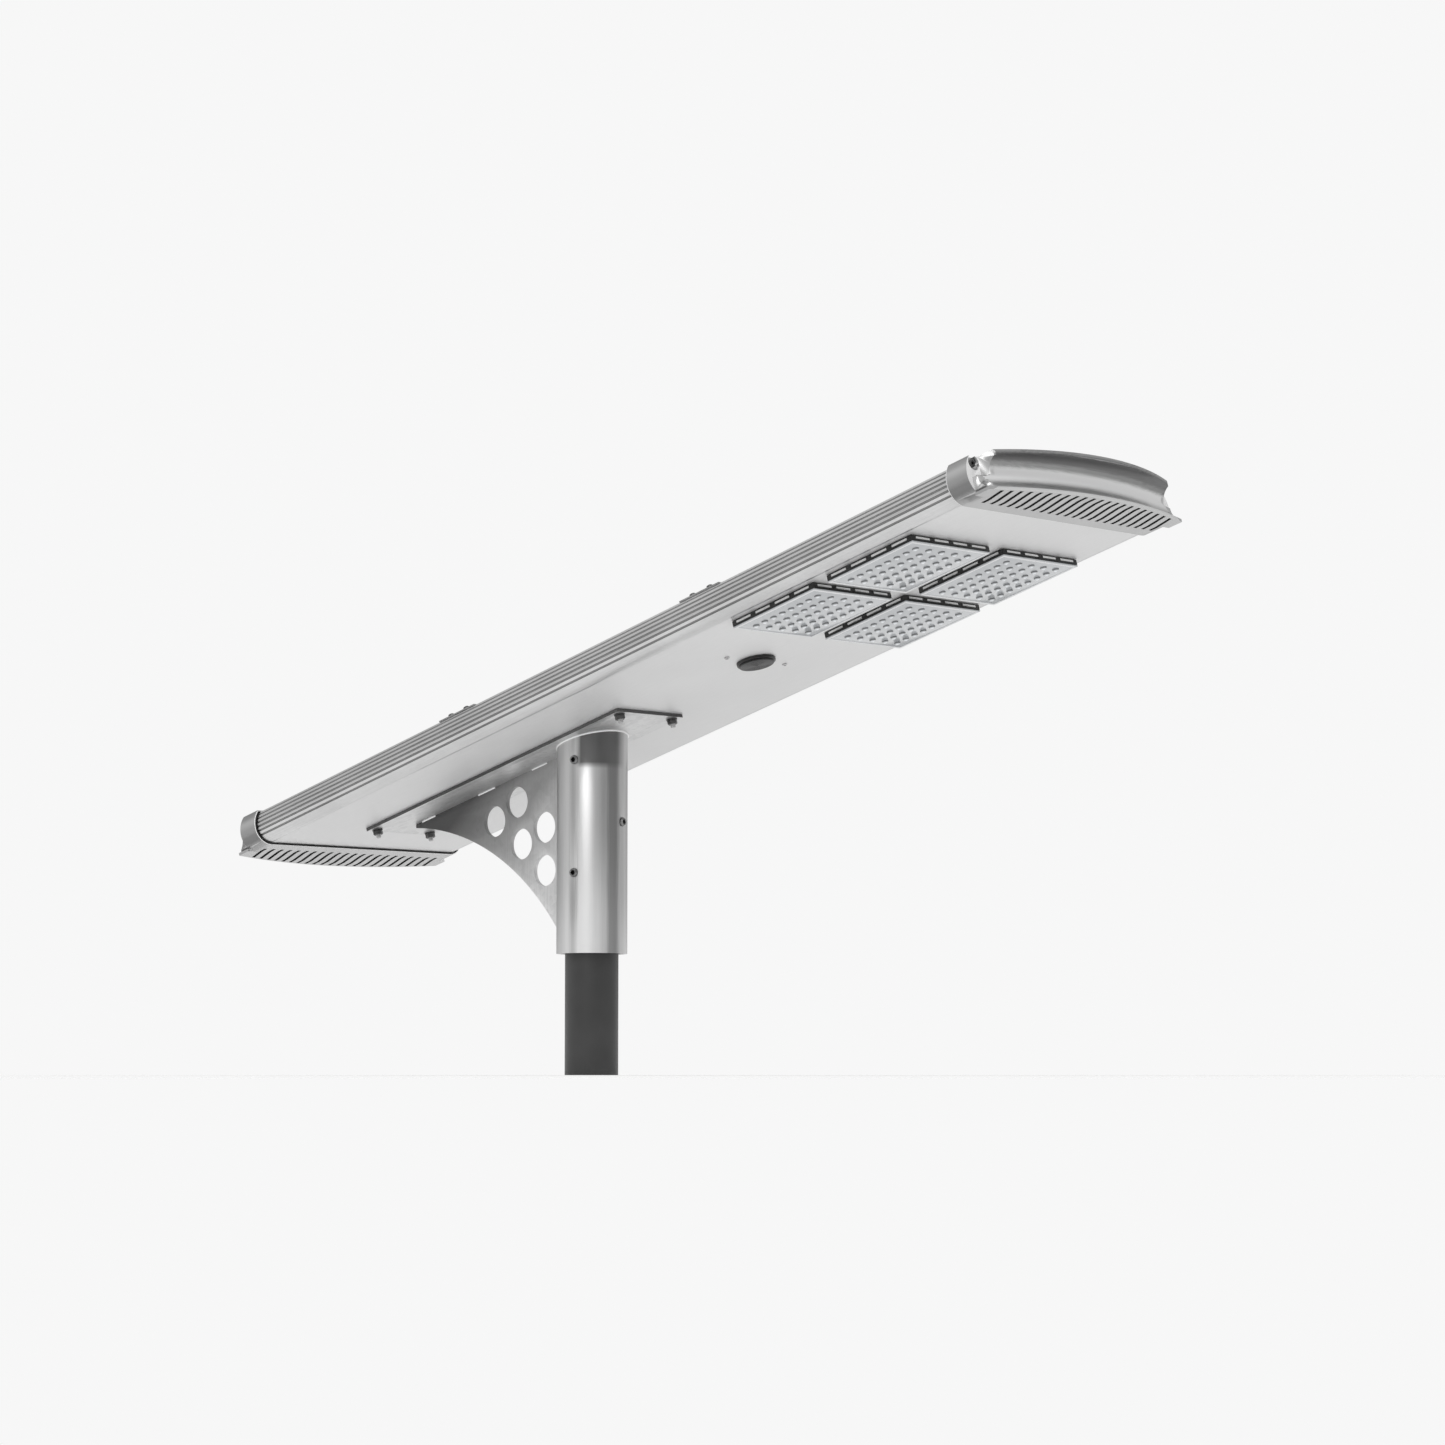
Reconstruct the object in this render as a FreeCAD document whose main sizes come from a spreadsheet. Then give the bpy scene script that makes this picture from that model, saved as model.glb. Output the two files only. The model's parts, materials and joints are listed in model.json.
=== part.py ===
import FreeCAD, Part
import Sketcher
import math
import os
import re

# An all-in-one solar street lamp on the top of its pole, in millimetres.
# Row frame: origin at the centre of the pole's lower end, +Z up the pole, +X towards the lamps.
# Head frame: u runs along the head towards the lamps, v across it, w out of its back towards the
# sun. Its origin is where the pole's axis meets the underside of the head, and it is tilted.

doc = FreeCAD.newDocument("SolarStreetLamp")
sheet = doc.addObject("Spreadsheet::Sheet", "Dims")

SIZES = [
    # the pole and the steel bracket that slips over it
    ("pole_od", 60.3), ("pole_wall", 3.2), ("pole_bare", 136), ("pole_inside", 200),
    ("sleeve_od", 80), ("sleeve_wall", 4), ("sleeve_long", 244), ("tilt", 15),
    ("set_screw_d", 10), ("set_screw_long", 12), ("set_screw_gap", 0.3), ("thread_gap", 0.15),
    ("set_screw_hex", 5), ("set_screw_hex_deep", 5), ("set_screw_angle", -75),
    ("set_screw_high", 27), ("set_screw_middle", 96), ("set_screw_low", 154),
    ("plate_rear", 345), ("plate_front", 96), ("plate_half", 51), ("plate_thick", 4),
    ("bolt_inset_rear", 8), ("bolt_inset_front", 8), ("bolt_inset_side", 10), ("bolt_d", 6),
    ("nut_flat", 10), ("nut_thick", 5), ("bolt_stick_out", 4), ("washer_d", 12.4),
    ("washer_thick", 1.2), ("hole_gap", 0.3), ("stiffener_thick", 3),
    ("web_thick", 5), ("web_tip", 311), ("web_tip_high", 4), ("web_low", 234), ("web_arc", 330),
    ("web_hole_d", 36), ("web_hole_1_in", 161), ("web_hole_1_down", 87), ("web_hole_2_in", 123),
    ("web_hole_2_down", 66.5), ("web_hole_3_in", 76.5), ("web_hole_3_down", 97.5),
    ("web_hole_4_in", 115.5), ("web_hole_4_down", 115), ("web_hole_5_in", 75.5),
    ("web_hole_5_down", 147),
    # the head: two side rails, a flat floor and the panel between them
    ("head_rear", 415), ("head_front", 701), ("flat_half", 140), ("side_round", 18),
    ("top_half", 151), ("rail_high", 36.6), ("rail_wall", 2.2), ("floor_thick", 2),
    ("ledge_in", 128), ("ledge_thick", 2.2), ("boss_in", 142), ("boss_high", 9),
    ("shelf_in", 132), ("shelf_high", 30.6), ("panel_edge_gap", 0.5), ("panel_half", 141),
    ("rib_first", 8), ("rib_pitch", 5), ("rib_round", 1.2),
    ("glass_thick", 3.2), ("cell_thick", 0.5), ("backing_thick", 1.2),
    ("pv_cell", 125), ("pv_gap", 4), ("pv_margin", 12),
    # the cast end caps
    ("cap_proud", 3), ("cap_long", 64), ("cap_arc", 600), ("brow_long", 72.5), ("brow_arc", 400),
    ("cap_skirt", 20), ("cap_fit", 0.3), ("cap_pad", 27), ("cove_round", 19.5), ("cove_deep", 10.5),
    ("cove_high", 16.3), ("brow_half", 139), ("flange_half", 154), ("flange_thick", 3.2),
    ("slot_pitch", 12.7), ("slot_wide", 4.6), ("slot_deep", 2.4), ("slot_start", 14),
    ("slot_bend_in", 22), ("slot_bend_out", 50), ("slot_shift", 7), ("lip_rim", 2.5),
    ("cap_hollow_half", 130), ("cap_hollow_low", -0.8), ("cap_hollow_high", 30),
    ("gasket_thick", 2), ("gasket_wide", 7), ("cap_screw_d", 4), ("cap_screw_head_d", 8),
    ("cap_screw_head", 3), ("cap_screw_long", 24), ("cap_sink_d", 9.4), ("cap_sink_deep", 4),
    ("cap_notch_d", 16),
    ("cap_screw_in", 147), ("cap_screw_up", 32.4), ("cap_screw_down", 5.4), ("screw_gap", 0.1),
    # what clamps the panel down
    ("clamp_long", 60), ("clamp_wide", 15), ("clamp_thick", 1.6), ("clamp_in", 137),
    ("clamp_rear", -53), ("clamp_front", 341), ("clamp_screw_d", 4), ("clamp_screw_head_d", 8),
    ("clamp_screw_head", 3.2), ("clamp_screw_long", 6), ("clamp_screw_pitch", 26),
    # lamp modules and the motion sensor under the floor
    ("module_long", 120.5), ("module_wide", 121), ("module_high", 8), ("module_wall", 4),
    ("module_gap_u", 19), ("module_gap_v", 21), ("module_centre", 489.7),
    ("board_thick", 1.6), ("board_off", 2.4), ("lens_thick", 3), ("lens_round", 9),
    ("lens_bump", 2.6), ("lens_pitch_u", 13), ("lens_pitch_v", 20),
    ("sensor_at", 266), ("sensor_base_d", 43), ("sensor_base_high", 3.4), ("sensor_face_d", 39),
    ("sensor_face_high", 2.8), ("sensor_screw_pitch", 91), ("small_screw_d", 3),
    ("small_screw_head_d", 5.6), ("small_screw_head", 2), ("small_screw_long", 7),
    # what the head holds inside
    ("battery_rear", 312), ("battery_wall", 1.2), ("cell_d", 22), ("cell_long", 64),
    ("cell_pitch_u", 22.6), ("cell_pitch_v", 65), ("battery_cover", 1),
    ("controller_at", 100), ("controller_long", 145), ("controller_wide", 90),
    ("controller_high", 22), ("controller_side", 12), ("box_long", 70), ("box_wide", 46),
    ("box_high", 14), ("box_at", 250), ("box_side", 40), ("lead_d", 6), ("lead_high", 12),
    ("battery_lead_side", 25),
    ("grommet_d", 16), ("grommet_lip", 2), ("grommet_high", 6),
]
COUNTS = {"ribs": 6, "slots": 22, "cells_u": 16, "cells_v": 4, "pv_u": 8, "pv_v": 2,
          "lens_u": 8, "lens_v": 5, "web_holes": 5}

for row, (alias, number) in enumerate(SIZES, start=1):
    sheet.set(f"A{row}", alias)
    sheet.set(f"B{row}", str(number))
    sheet.setAlias(f"B{row}", alias)
doc.recompute()
ALIASES = re.compile(r"\b(" + "|".join(sorted((a for a, _ in SIZES), key=len, reverse=True)) + r")\b")

nodes = []


def bind(text):
    """The expression with every named size pointed at the sheet."""
    return ALIASES.sub(r"Dims.\1", str(text))


def size(text):
    return float(sheet.evalExpression(bind(text)))


def tie(thing, **properties):
    for name, text in properties.items():
        thing.setExpression(name.replace("__", "."), bind(text))


def node(thing, name):
    thing.Label = name
    nodes.append(thing)
    return thing


# Where the underside of the head crosses the pole's axis.
HEAD_UP = "(pole_bare + sleeve_long)"


def place(thing, x="0", y="0", z="0"):
    """Put a piece at a point of the row frame, upright."""
    tie(thing, Placement__Base__x=x, Placement__Base__y=y, Placement__Base__z=z)
    return thing


def place_in_head(thing, u="0", v="0", w="0"):
    """Put a piece at a point of the head frame and tilt it with the head."""
    thing.Placement = FreeCAD.Placement(FreeCAD.Vector(0, 0, 0), FreeCAD.Rotation(FreeCAD.Vector(0, -1,
                                                                                                 0), 1))
    tie(thing, Placement__Rotation__Angle="tilt",
        Placement__Base__x=f"({u}) * cos(tilt) - ({w}) * sin(tilt)",
        Placement__Base__y=v,
        Placement__Base__z=f"{HEAD_UP} + ({u}) * sin(tilt) + ({w}) * cos(tilt)")
    return thing


def box(name, u, v, w, long, wide, high):
    """A block with its low corner at (u, v, w)."""
    block = doc.addObject("Part::Box", name)
    tie(block, Length=long, Width=wide, Height=high)
    return place(block, u, v, w)


def rod(name, u, v, w, radius, high, axis=None):
    """A round bar that starts at (u, v, w) and runs along +Z, or along another axis."""
    bar = doc.addObject("Part::Cylinder", name)
    if axis:
        bar.Placement = FreeCAD.Placement(FreeCAD.Vector(0, 0, 0),
                                          FreeCAD.Rotation(FreeCAD.Vector(0, 0, 1), FreeCAD.Vector(*axis)))
    tie(bar, Radius=radius, Height=high)
    return place(bar, u, v, w)


def cut(name, base, tools):
    """The base with every tool taken out of it."""
    tool = tools[0]
    if len(tools) > 1:
        tool = doc.addObject("Part::MultiFuse", name + "_tools")
        tool.Shapes = tools
    piece = doc.addObject("Part::Cut", name)
    piece.Base = base
    piece.Tool = tool
    return piece


def group(name, pieces):
    """Several separate solids that share one node."""
    bundle = doc.addObject("Part::Compound", name)
    bundle.Links = pieces
    return bundle


def fuse(name, pieces):
    joined = doc.addObject("Part::MultiFuse", name)
    joined.Shapes = pieces
    joined.Refine = True
    return joined


def new_body(name):
    return doc.addObject("PartDesign::Body", name)


def sketch_on(body, plane, offset="0"):
    """A sketch on one of the body's own origin planes, moved along the plane's normal."""
    sketch = body.newObject("Sketcher::SketchObject", body.Name + "_sketch")
    origin = [feature for feature in body.Origin.OriginFeatures if feature.Role == plane][0]
    sketch.AttachmentSupport = [(origin, "")]
    sketch.MapMode = "FlatFace"
    tie(sketch, AttachmentOffset__Base__z=offset)
    return sketch


def pin_point(sketch, item, end, x, y):
    """Tie one end of an edge to a place given by two expressions."""
    for kind, text in (("DistanceX", x), ("DistanceY", y)):
        index = sketch.addConstraint(Sketcher.Constraint(kind, -1, 1, item, end, size(text)))
        sketch.setExpression(f"Constraints[{index}]", bind(text))


def outline(sketch, corners):
    """A closed loop. A corner is (x, y) before a straight edge or (x, y, radius) before an arc
    that turns left round a positive radius and right round a negative one."""
    first = sketch.GeometryCount
    places = [(size(corner[0]), size(corner[1])) for corner in corners]
    for index, corner in enumerate(corners):
        start, end = places[index], places[(index + 1) % len(places)]
        if len(corner) == 2:
            sketch.addGeometry(Part.LineSegment(vector(start), vector(end)))
        else:
            sketch.addGeometry(arc_between(start, end, size(corner[2])))
    ends = []
    for index, corner in enumerate(corners):
        right_turn = len(corner) == 3 and size(corner[2]) < 0
        ends.append((2, 1) if right_turn else (1, 2))
    for index, corner in enumerate(corners):
        item = first + index
        follower = first + (index + 1) % len(corners)
        joint = (item, ends[index][1], follower, ends[(index + 1) % len(corners)][0])
        sketch.addConstraint(Sketcher.Constraint("Coincident", *joint))
        pin_point(sketch, item, ends[index][0], corner[0], corner[1])
        if len(corner) == 3:
            radius = sketch.addConstraint(Sketcher.Constraint("Radius", item, abs(size(corner[2]))))
            sketch.setExpression(f"Constraints[{radius}]", bind(f"abs({corner[2]})"))


def ring(sketch, x, y, radius):
    """A full circle."""
    item = sketch.addGeometry(Part.Circle(vector((size(x), size(y))), FreeCAD.Vector(0, 0, 1), size(radius)))
    pin_point(sketch, item, 3, x, y)
    index = sketch.addConstraint(Sketcher.Constraint("Radius", item, size(radius)))
    sketch.setExpression(f"Constraints[{index}]", bind(radius))


def vector(point):
    return FreeCAD.Vector(point[0], point[1], 0)


def arc_between(start, end, radius):
    """The short arc from start to end: left-turning for a positive radius."""
    chord = vector(end) - vector(start)
    half = chord.Length / 2
    rise = math.sqrt(max(radius * radius - half * half, 0))
    side = FreeCAD.Vector(-chord.y, chord.x, 0).normalize() * (rise if radius > 0 else -rise)
    centre = (vector(start) + vector(end)) * 0.5 + side
    circle = Part.Circle(centre, FreeCAD.Vector(0, 0, 1), abs(radius))
    angles = [math.atan2(p[1] - centre.y, p[0] - centre.x) for p in (start, end)]
    if radius < 0:
        angles.reverse()
    return Part.ArcOfCircle(circle, angles[0], angles[1])


def pad(body, sketch, long, reverse=False):
    feature = body.newObject("PartDesign::Pad", body.Name + "_pad")
    feature.Profile = sketch
    feature.Reversed = reverse
    tie(feature, Length=long)
    doc.recompute()
    return feature


def pocket(body, sketch, deep, reverse=False):
    feature = body.newObject("PartDesign::Pocket", body.Name + "_pocket")
    feature.Profile = sketch
    feature.Reversed = reverse
    tie(feature, Length=deep)
    doc.recompute()
    return feature


def hex_bar(name, across, high):
    """A hexagonal prism that stands on the origin."""
    body = new_body(name)
    sketch = sketch_on(body, "XY_Plane")
    corners = [(f"({across}) / sqrt(3) * cos({60 * k})", f"({across}) / sqrt(3) * sin({60 * k})")
               for k in range(6)]
    outline(sketch, corners)
    pad(body, sketch, high)
    return body


# ---- the pole's top section ----------------------------------------------------------------

pole_long = "(pole_bare + pole_inside)"
pole = cut("pole_top_section",
           rod("pole_outside", "0", "0", "0", "pole_od / 2", pole_long),
           [rod("pole_bore", "0", "0", "-1", "pole_od / 2 - pole_wall", pole_long + " + 2")])
node(pole, "pole_top_section")

# ---- the steel bracket ---------------------------------------------------------------------

# Each set screw: its direction round the pole and its drop below the head.
SET_SCREWS = {
    "set_screw_near_upper": ("set_screw_angle", "set_screw_high"),
    "set_screw_near_lower": ("set_screw_angle", "set_screw_low"),
    "set_screw_front": ("set_screw_angle + 90", "set_screw_middle"),
    "set_screw_far_upper": ("set_screw_angle + 180", "set_screw_high"),
    "set_screw_far_lower": ("set_screw_angle + 180", "set_screw_low"),
}


def point_outwards(thing, turn, radius, drop):
    """Lay a piece that was made along +Z on a line out of the pole, at a turn about the pole."""
    thing.Placement = FreeCAD.Placement(FreeCAD.Vector(0, 0, 0), FreeCAD.Rotation(FreeCAD.Vector(0, 1,
                                                                                                 0), 90))
    tie(thing, Placement__Rotation__Axis__x=f"-sin({turn})", Placement__Rotation__Axis__y=f"cos({turn})",
        Placement__Base__x=f"({radius}) * cos({turn})", Placement__Base__y=f"({radius}) * sin({turn})",
        Placement__Base__z=f"{HEAD_UP} - ({drop})")
    return thing


above_plate = box("above_plate", "0", "0", "0", "plate_rear + plate_front", "4 * plate_half", "sleeve_od * 2")
place_in_head(above_plate, "-plate_rear", "-2 * plate_half", "-plate_thick")
sleeve_tools = [rod("sleeve_bore", "0", "0", "0", "sleeve_od / 2 - sleeve_wall",
                    "pole_bare + sleeve_long * 2"),
                above_plate]
for name, (turn, drop) in SET_SCREWS.items():
    hole = rod(name + "_hole", "0", "0", "0", "set_screw_d / 2 + thread_gap", "sleeve_od / 2")
    sleeve_tools.append(point_outwards(hole, turn, "sleeve_od / 4", drop))
sleeve = cut("sleeve_tube",
             rod("sleeve_outside", "0", "0", "pole_bare", "sleeve_od / 2", "sleeve_long + sleeve_od"),
             sleeve_tools)
node(sleeve, "sleeve_tube")

for name, (turn, drop) in SET_SCREWS.items():
    thread = rod(name + "_thread", "0", "0", "0", "set_screw_d / 2", "set_screw_long")
    socket = hex_bar(name + "_socket", "set_screw_hex", "set_screw_hex_deep")
    place(socket, "0", "0", "set_screw_long - set_screw_hex_deep + 0.01")
    screw = cut(name, thread, [socket])
    node(point_outwards(screw, turn, "pole_od / 2 + set_screw_gap", drop), name)

BOLTS = [(u, v) for u in ("bolt_inset_rear - plate_rear", "plate_front - bolt_inset_front")
         for v in ("bolt_inset_side - plate_half", "plate_half - bolt_inset_side")]


def drilled_plate(name, low, thick):
    """A flat plate of the bracket's outline with its four bolt holes."""
    blank = box(name + "_blank", "-plate_rear", "-plate_half", low, "plate_rear + plate_front",
                "2 * plate_half", thick)
    holes = [rod(f"{name}_hole_{k}", u, v, f"({low}) - 1", "bolt_d / 2 + hole_gap", f"({thick}) + 2")
             for k, (u, v) in enumerate(BOLTS)]
    return node(place_in_head(cut(name, blank, holes)), name)


drilled_plate("mount_plate", "-plate_thick", "plate_thick")
drilled_plate("stiffener_plate", "floor_thick", "stiffener_thick")

web = new_body("gusset_blank")
web_sketch = sketch_on(web, "XZ_Plane", "-web_thick / 2")
tip_x = "-(web_tip * cos(tilt) - plate_thick * sin(tilt))"
tip_z = f"({HEAD_UP} - web_tip * sin(tilt) - plate_thick * cos(tilt))"
inner_x = "-(sleeve_od / 2 - sleeve_wall)"
outline(web_sketch, [
    (tip_x, tip_z),
    (tip_x, f"{tip_z} - web_tip_high", "-web_arc"),
    ("-sleeve_od / 2", f"{HEAD_UP} - web_low"),
    (inner_x, f"{HEAD_UP} - web_low"),
    (inner_x, f"{HEAD_UP} - plate_thick / cos(tilt) + ({inner_x}) * tan(tilt)"),
])
for k in range(1, COUNTS["web_holes"] + 1):
    ring(web_sketch, f"-web_hole_{k}_in", f"{HEAD_UP} - web_hole_{k}_down", "web_hole_d / 2")
pad(web, web_sketch, "web_thick")
gusset = cut("gusset_web", web, [rod("gusset_seat", "0", "0", "0", "sleeve_od / 2", HEAD_UP)])
node(gusset, "gusset_web")

# Bolt, washer and nut at each corner: the heads are inside the head, the nuts below the plate.
bolts, nuts, washers = [], [], []
under_plate = "-plate_thick - washer_thick"
bolt_head_at = "floor_thick + stiffener_thick"
for k, (u, v) in enumerate(BOLTS):
    nut_body = hex_bar(f"nut_blank_{k}", "nut_flat", "nut_thick")
    place(nut_body, u, v, f"{under_plate} - nut_thick")
    nuts.append(cut(f"nut_{k}", nut_body, [rod(f"nut_bore_{k}", u, v, f"{under_plate} - nut_thick - 1",
                                               "bolt_d / 2", "nut_thick + 2")]))
    washers.append(cut(f"washer_{k}",
                       rod(f"washer_blank_{k}", u, v, under_plate, "washer_d / 2", "washer_thick"),
                       [rod(f"washer_bore_{k}", u, v, f"{under_plate} - 1", "bolt_d / 2 + hole_gap",
                            "washer_thick + 2")]))
    head = hex_bar(f"bolt_head_{k}", "nut_flat", "nut_thick")
    place(head, u, v, bolt_head_at)
    shank_low = f"({under_plate} - nut_thick - bolt_stick_out)"
    shank = rod(f"bolt_shank_{k}", u, v, shank_low, "bolt_d / 2", f"{bolt_head_at} - {shank_low} + 1")
    bolts.append(fuse(f"bolt_{k}", [head, shank]))
for name, pieces in (("mount_bolts", bolts), ("mount_nuts", nuts), ("mount_washers", washers)):
    node(place_in_head(group(name, pieces)), name)

# ---- the head's shell ----------------------------------------------------------------------

body_half = "(flat_half + side_round)"
top_round = f"((({body_half} - top_half)^2 + (rail_high - side_round)^2) / (2 * ({body_half} - top_half)))"
top_centre = f"({body_half} - {top_round})"
rail_start = "(head_rear + cap_skirt - gasket_thick)"
rail_long = "(head_rear + head_front + 2 * (cap_skirt - gasket_thick))"


def on_low_round(high, wall="0"):
    """How far out the side's lower round is at a height, less a wall."""
    return f"(flat_half + sqrt((side_round - ({wall}))^2 - (side_round - ({high}))^2))"


def on_top_round(high, wall="0"):
    """How far out the side's upper round is at a height, less a wall."""
    return f"({top_centre} + sqrt(({top_round} - ({wall}))^2 - (({high}) - side_round)^2))"


def mirror_loop(corners):
    """The same loop on the other side, walked the other way so that it still turns left."""
    flipped = []
    for index in range(len(corners)):
        here = corners[-index - 1]
        before = corners[(-index - 2) % len(corners)]
        corner = (f"-({here[0]})", here[1])
        flipped.append(corner + tuple(before[2:]))
    return flipped


shelf_low = "(shelf_high - rail_wall)"
RAIL = [
    ("flat_half", "0", "side_round"),
    (body_half, "side_round", top_round),
    ("top_half", "rail_high"),
    ("panel_half + panel_edge_gap", "rail_high"),
    ("panel_half + panel_edge_gap", "shelf_high"),
    ("shelf_in", "shelf_high"),
    ("shelf_in", shelf_low),
    (on_top_round(shelf_low, "rail_wall"), shelf_low, f"-({top_round} - rail_wall)"),
    (f"{body_half} - rail_wall", "side_round", "-(side_round - rail_wall)"),
    (on_low_round("boss_high", "rail_wall"), "boss_high"),
    ("boss_in", "boss_high"),
    ("boss_in", "floor_thick + ledge_thick"),
    ("ledge_in", "floor_thick + ledge_thick"),
    ("ledge_in", "floor_thick"),
    ("flat_half", "floor_thick"),
]
for side, name in ((-1, "side_rail_near"), (1, "side_rail_far")):
    rail = new_body(name)
    section = sketch_on(rail, "YZ_Plane", f"-{rail_start}")
    outline(section, RAIL if side > 0 else mirror_loop(RAIL))
    for high in ("cap_screw_up", "cap_screw_down"):
        ring(section, f"{side} * cap_screw_in", high, "cap_screw_d / 2 + screw_gap / 2")
    pad(rail, section, rail_long)
    grooves = sketch_on(rail, "YZ_Plane", f"-{rail_start}")
    for k in range(COUNTS["ribs"]):
        high = f"(rib_first + {k} * rib_pitch)"
        low_part = size(high) <= size("side_round")
        ring(grooves, f"{side} * {on_low_round(high) if low_part else on_top_round(high)}", high, "rib_round")
    pocket(rail, grooves, rail_long, reverse=True)
    node(place_in_head(rail), name)

# The lamps' lead goes through the floor behind the first lamp's board.
LEAD_HOLE = ("(module_centre - (module_long + module_gap_u) / 2)", "(-(module_wide + module_gap_v) / 2)")

floor_holes = [rod(f"floor_bolt_hole_{k}", u, v, "-1", "bolt_d / 2 + hole_gap", "floor_thick + 2")
               for k, (u, v) in enumerate(BOLTS)]
floor_holes.append(rod("floor_lead_hole", *LEAD_HOLE, "-1", "grommet_d / 2", "floor_thick + 2"))
floor_holes.append(rod("floor_sensor_hole", "sensor_at", "0", "-1", "sensor_base_d / 4", "floor_thick + 2"))
for side in (-1, 1):
    floor_holes.append(rod(f"floor_sensor_screw_{side + 1}", "sensor_at",
                           f"{side} * sensor_screw_pitch / 2", "-1",
                           "small_screw_d / 2 + screw_gap / 2", "floor_thick + 2"))
floor_blank = box("floor_blank", f"-{rail_start}", "-flat_half", "0", rail_long, "2 * flat_half",
                  "floor_thick")
node(place_in_head(cut("floor_plate", floor_blank, floor_holes)), "floor_plate")

# ---- the end caps --------------------------------------------------------------------------

# A cap is drawn with its mouth at the origin and its lip towards +X.
cap_side = f"({body_half} + 12)"
section_high = "(rail_high + cap_proud)"


def hull_outline(grow):
    """The head's closed cross section, grown on all sides."""
    reach = on_top_round(f"rail_high + ({grow})", f"-({grow})")
    return [
        ("-flat_half", f"-({grow})"),
        ("flat_half", f"-({grow})", f"side_round + ({grow})"),
        (f"{body_half} + ({grow})", "side_round", f"{top_round} + ({grow})"),
        (reach, f"rail_high + ({grow})"),
        (f"-{reach}", f"rail_high + ({grow})", f"{top_round} + ({grow})"),
        (f"-({body_half} + ({grow}))", "side_round", f"side_round + ({grow})"),
    ]


def lip_at(half, inward="0", part="cap"):
    """How far from the mouth the lower lip's arc, or the brow's, is at a half width."""
    return f"({part}_long - {part}_arc + sqrt(({part}_arc - ({inward}))^2 - ({half})^2))"


def end_cap(name):
    cap = new_body(name)
    section = sketch_on(cap, "YZ_Plane")
    outline(section, hull_outline("cap_proud"))
    pad(cap, section, "brow_long")

    # the brow over the cove reaches further out than the lip below it, on a tighter arc
    for part, high in (("brow", f"{section_high} + cap_proud + 2"), ("cap", "cove_high + cap_proud + 1")):
        front = sketch_on(cap, "XY_Plane", "-cap_proud - 1")
        outline(front, [
            (lip_at(cap_side, part=part), f"-{cap_side}", f"{part}_arc"),
            (lip_at(cap_side, part=part), cap_side),
            ("brow_long + 10", cap_side),
            ("brow_long + 10", f"-{cap_side}"),
        ])
        pocket(cap, front, high, reverse=True)

    cove = sketch_on(cap, "XZ_Plane")
    ring(cove, "cap_long + cove_round - cove_deep", "cove_high", "cove_round")
    spin = cove.addGeometry(Part.LineSegment(vector((size("cap_long - cap_arc"), 0)),
                                             vector((size("cap_long - cap_arc"), 10))), True)
    pin_point(cove, spin, 1, "cap_long - cap_arc", "0")
    pin_point(cove, spin, 2, "cap_long - cap_arc", "10")
    groove = cap.newObject("PartDesign::Groove", name + "_cove")
    groove.Profile = cove
    groove.ReferenceAxis = (cove, ["Axis0"])
    groove.Angle = 360
    doc.recompute()

    pads = sketch_on(cap, "YZ_Plane")
    outline(pads, hull_outline("cap_proud"))
    pad(cap, pads, "cap_pad")

    corners = sketch_on(cap, "YZ_Plane", "cap_pad")
    for side in (-1, 1):
        loop = [("flange_half", "-cap_proud - 1"), (cap_side, "-cap_proud - 1"),
                (cap_side, f"{section_high} + 1"), ("brow_half", f"{section_high} + 1"),
                ("brow_half", "cove_high"), ("flange_half", "cove_high")]
        outline(corners, loop if side > 0 else mirror_loop(loop))
    pocket(cap, corners, "brow_long", reverse=True)

    flange = sketch_on(cap, "XY_Plane", "-cap_proud")
    outline(flange, [
        (lip_at("flange_half"), "-flange_half", "cap_arc"),
        (lip_at("flange_half"), "flange_half"),
        ("cap_pad - 1", "flange_half"),
        ("cap_pad - 1", "-flange_half"),
    ])
    pad(cap, flange, "flange_thick")

    slot = sketch_on(cap, "XY_Plane", "-cap_proud")
    first = f"(-slot_pitch * {(COUNTS['slots'] - 1) / 2})"
    left = f"({first} + slot_shift / 2 + slot_wide / 2)"
    right = f"({first} - slot_shift / 2 + slot_wide / 2)"
    outline(slot, [
        ("slot_start", f"{left} - slot_wide"),
        ("slot_bend_in", f"{left} - slot_wide"),
        ("slot_bend_out", f"{right} - slot_wide"),
        ("cap_long + 1", f"{right} - slot_wide"),
        ("cap_long + 1", right),
        ("slot_bend_out", right),
        ("slot_bend_in", left),
        ("slot_start", left),
    ])
    first_slot = pocket(cap, slot, "slot_deep", reverse=True)
    row = cap.newObject("PartDesign::LinearPattern", name + "_slots")
    row.Originals = [first_slot]
    row.Direction = ([f for f in cap.Origin.OriginFeatures if f.Role == "Y_Axis"][0], [""])
    row.Occurrences = COUNTS["slots"]
    tie(row, Length=f"slot_pitch * {COUNTS['slots'] - 1}")
    cap.Tip = row
    doc.recompute()

    rim = sketch_on(cap, "XY_Plane", "-cap_proud")
    outline(rim, [
        (lip_at("flange_half"), "-flange_half", "cap_arc"),
        (lip_at("flange_half"), "flange_half"),
        (lip_at("flange_half", "lip_rim"), "flange_half", "-(cap_arc - lip_rim)"),
        (lip_at("flange_half", "lip_rim"), "-flange_half"),
    ])
    pad(cap, rim, "flange_thick")

    mouth = sketch_on(cap, "YZ_Plane")
    outline(mouth, hull_outline("cap_fit"))
    pocket(cap, mouth, "cap_skirt", reverse=True)
    hollow = sketch_on(cap, "YZ_Plane")
    outline(hollow, [("-cap_hollow_half", "cap_hollow_low"), ("cap_hollow_half", "cap_hollow_low"),
                     ("cap_hollow_half", "cap_hollow_high"), ("-cap_hollow_half", "cap_hollow_high")])
    pocket(cap, hollow, "cap_pad", reverse=True)

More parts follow.
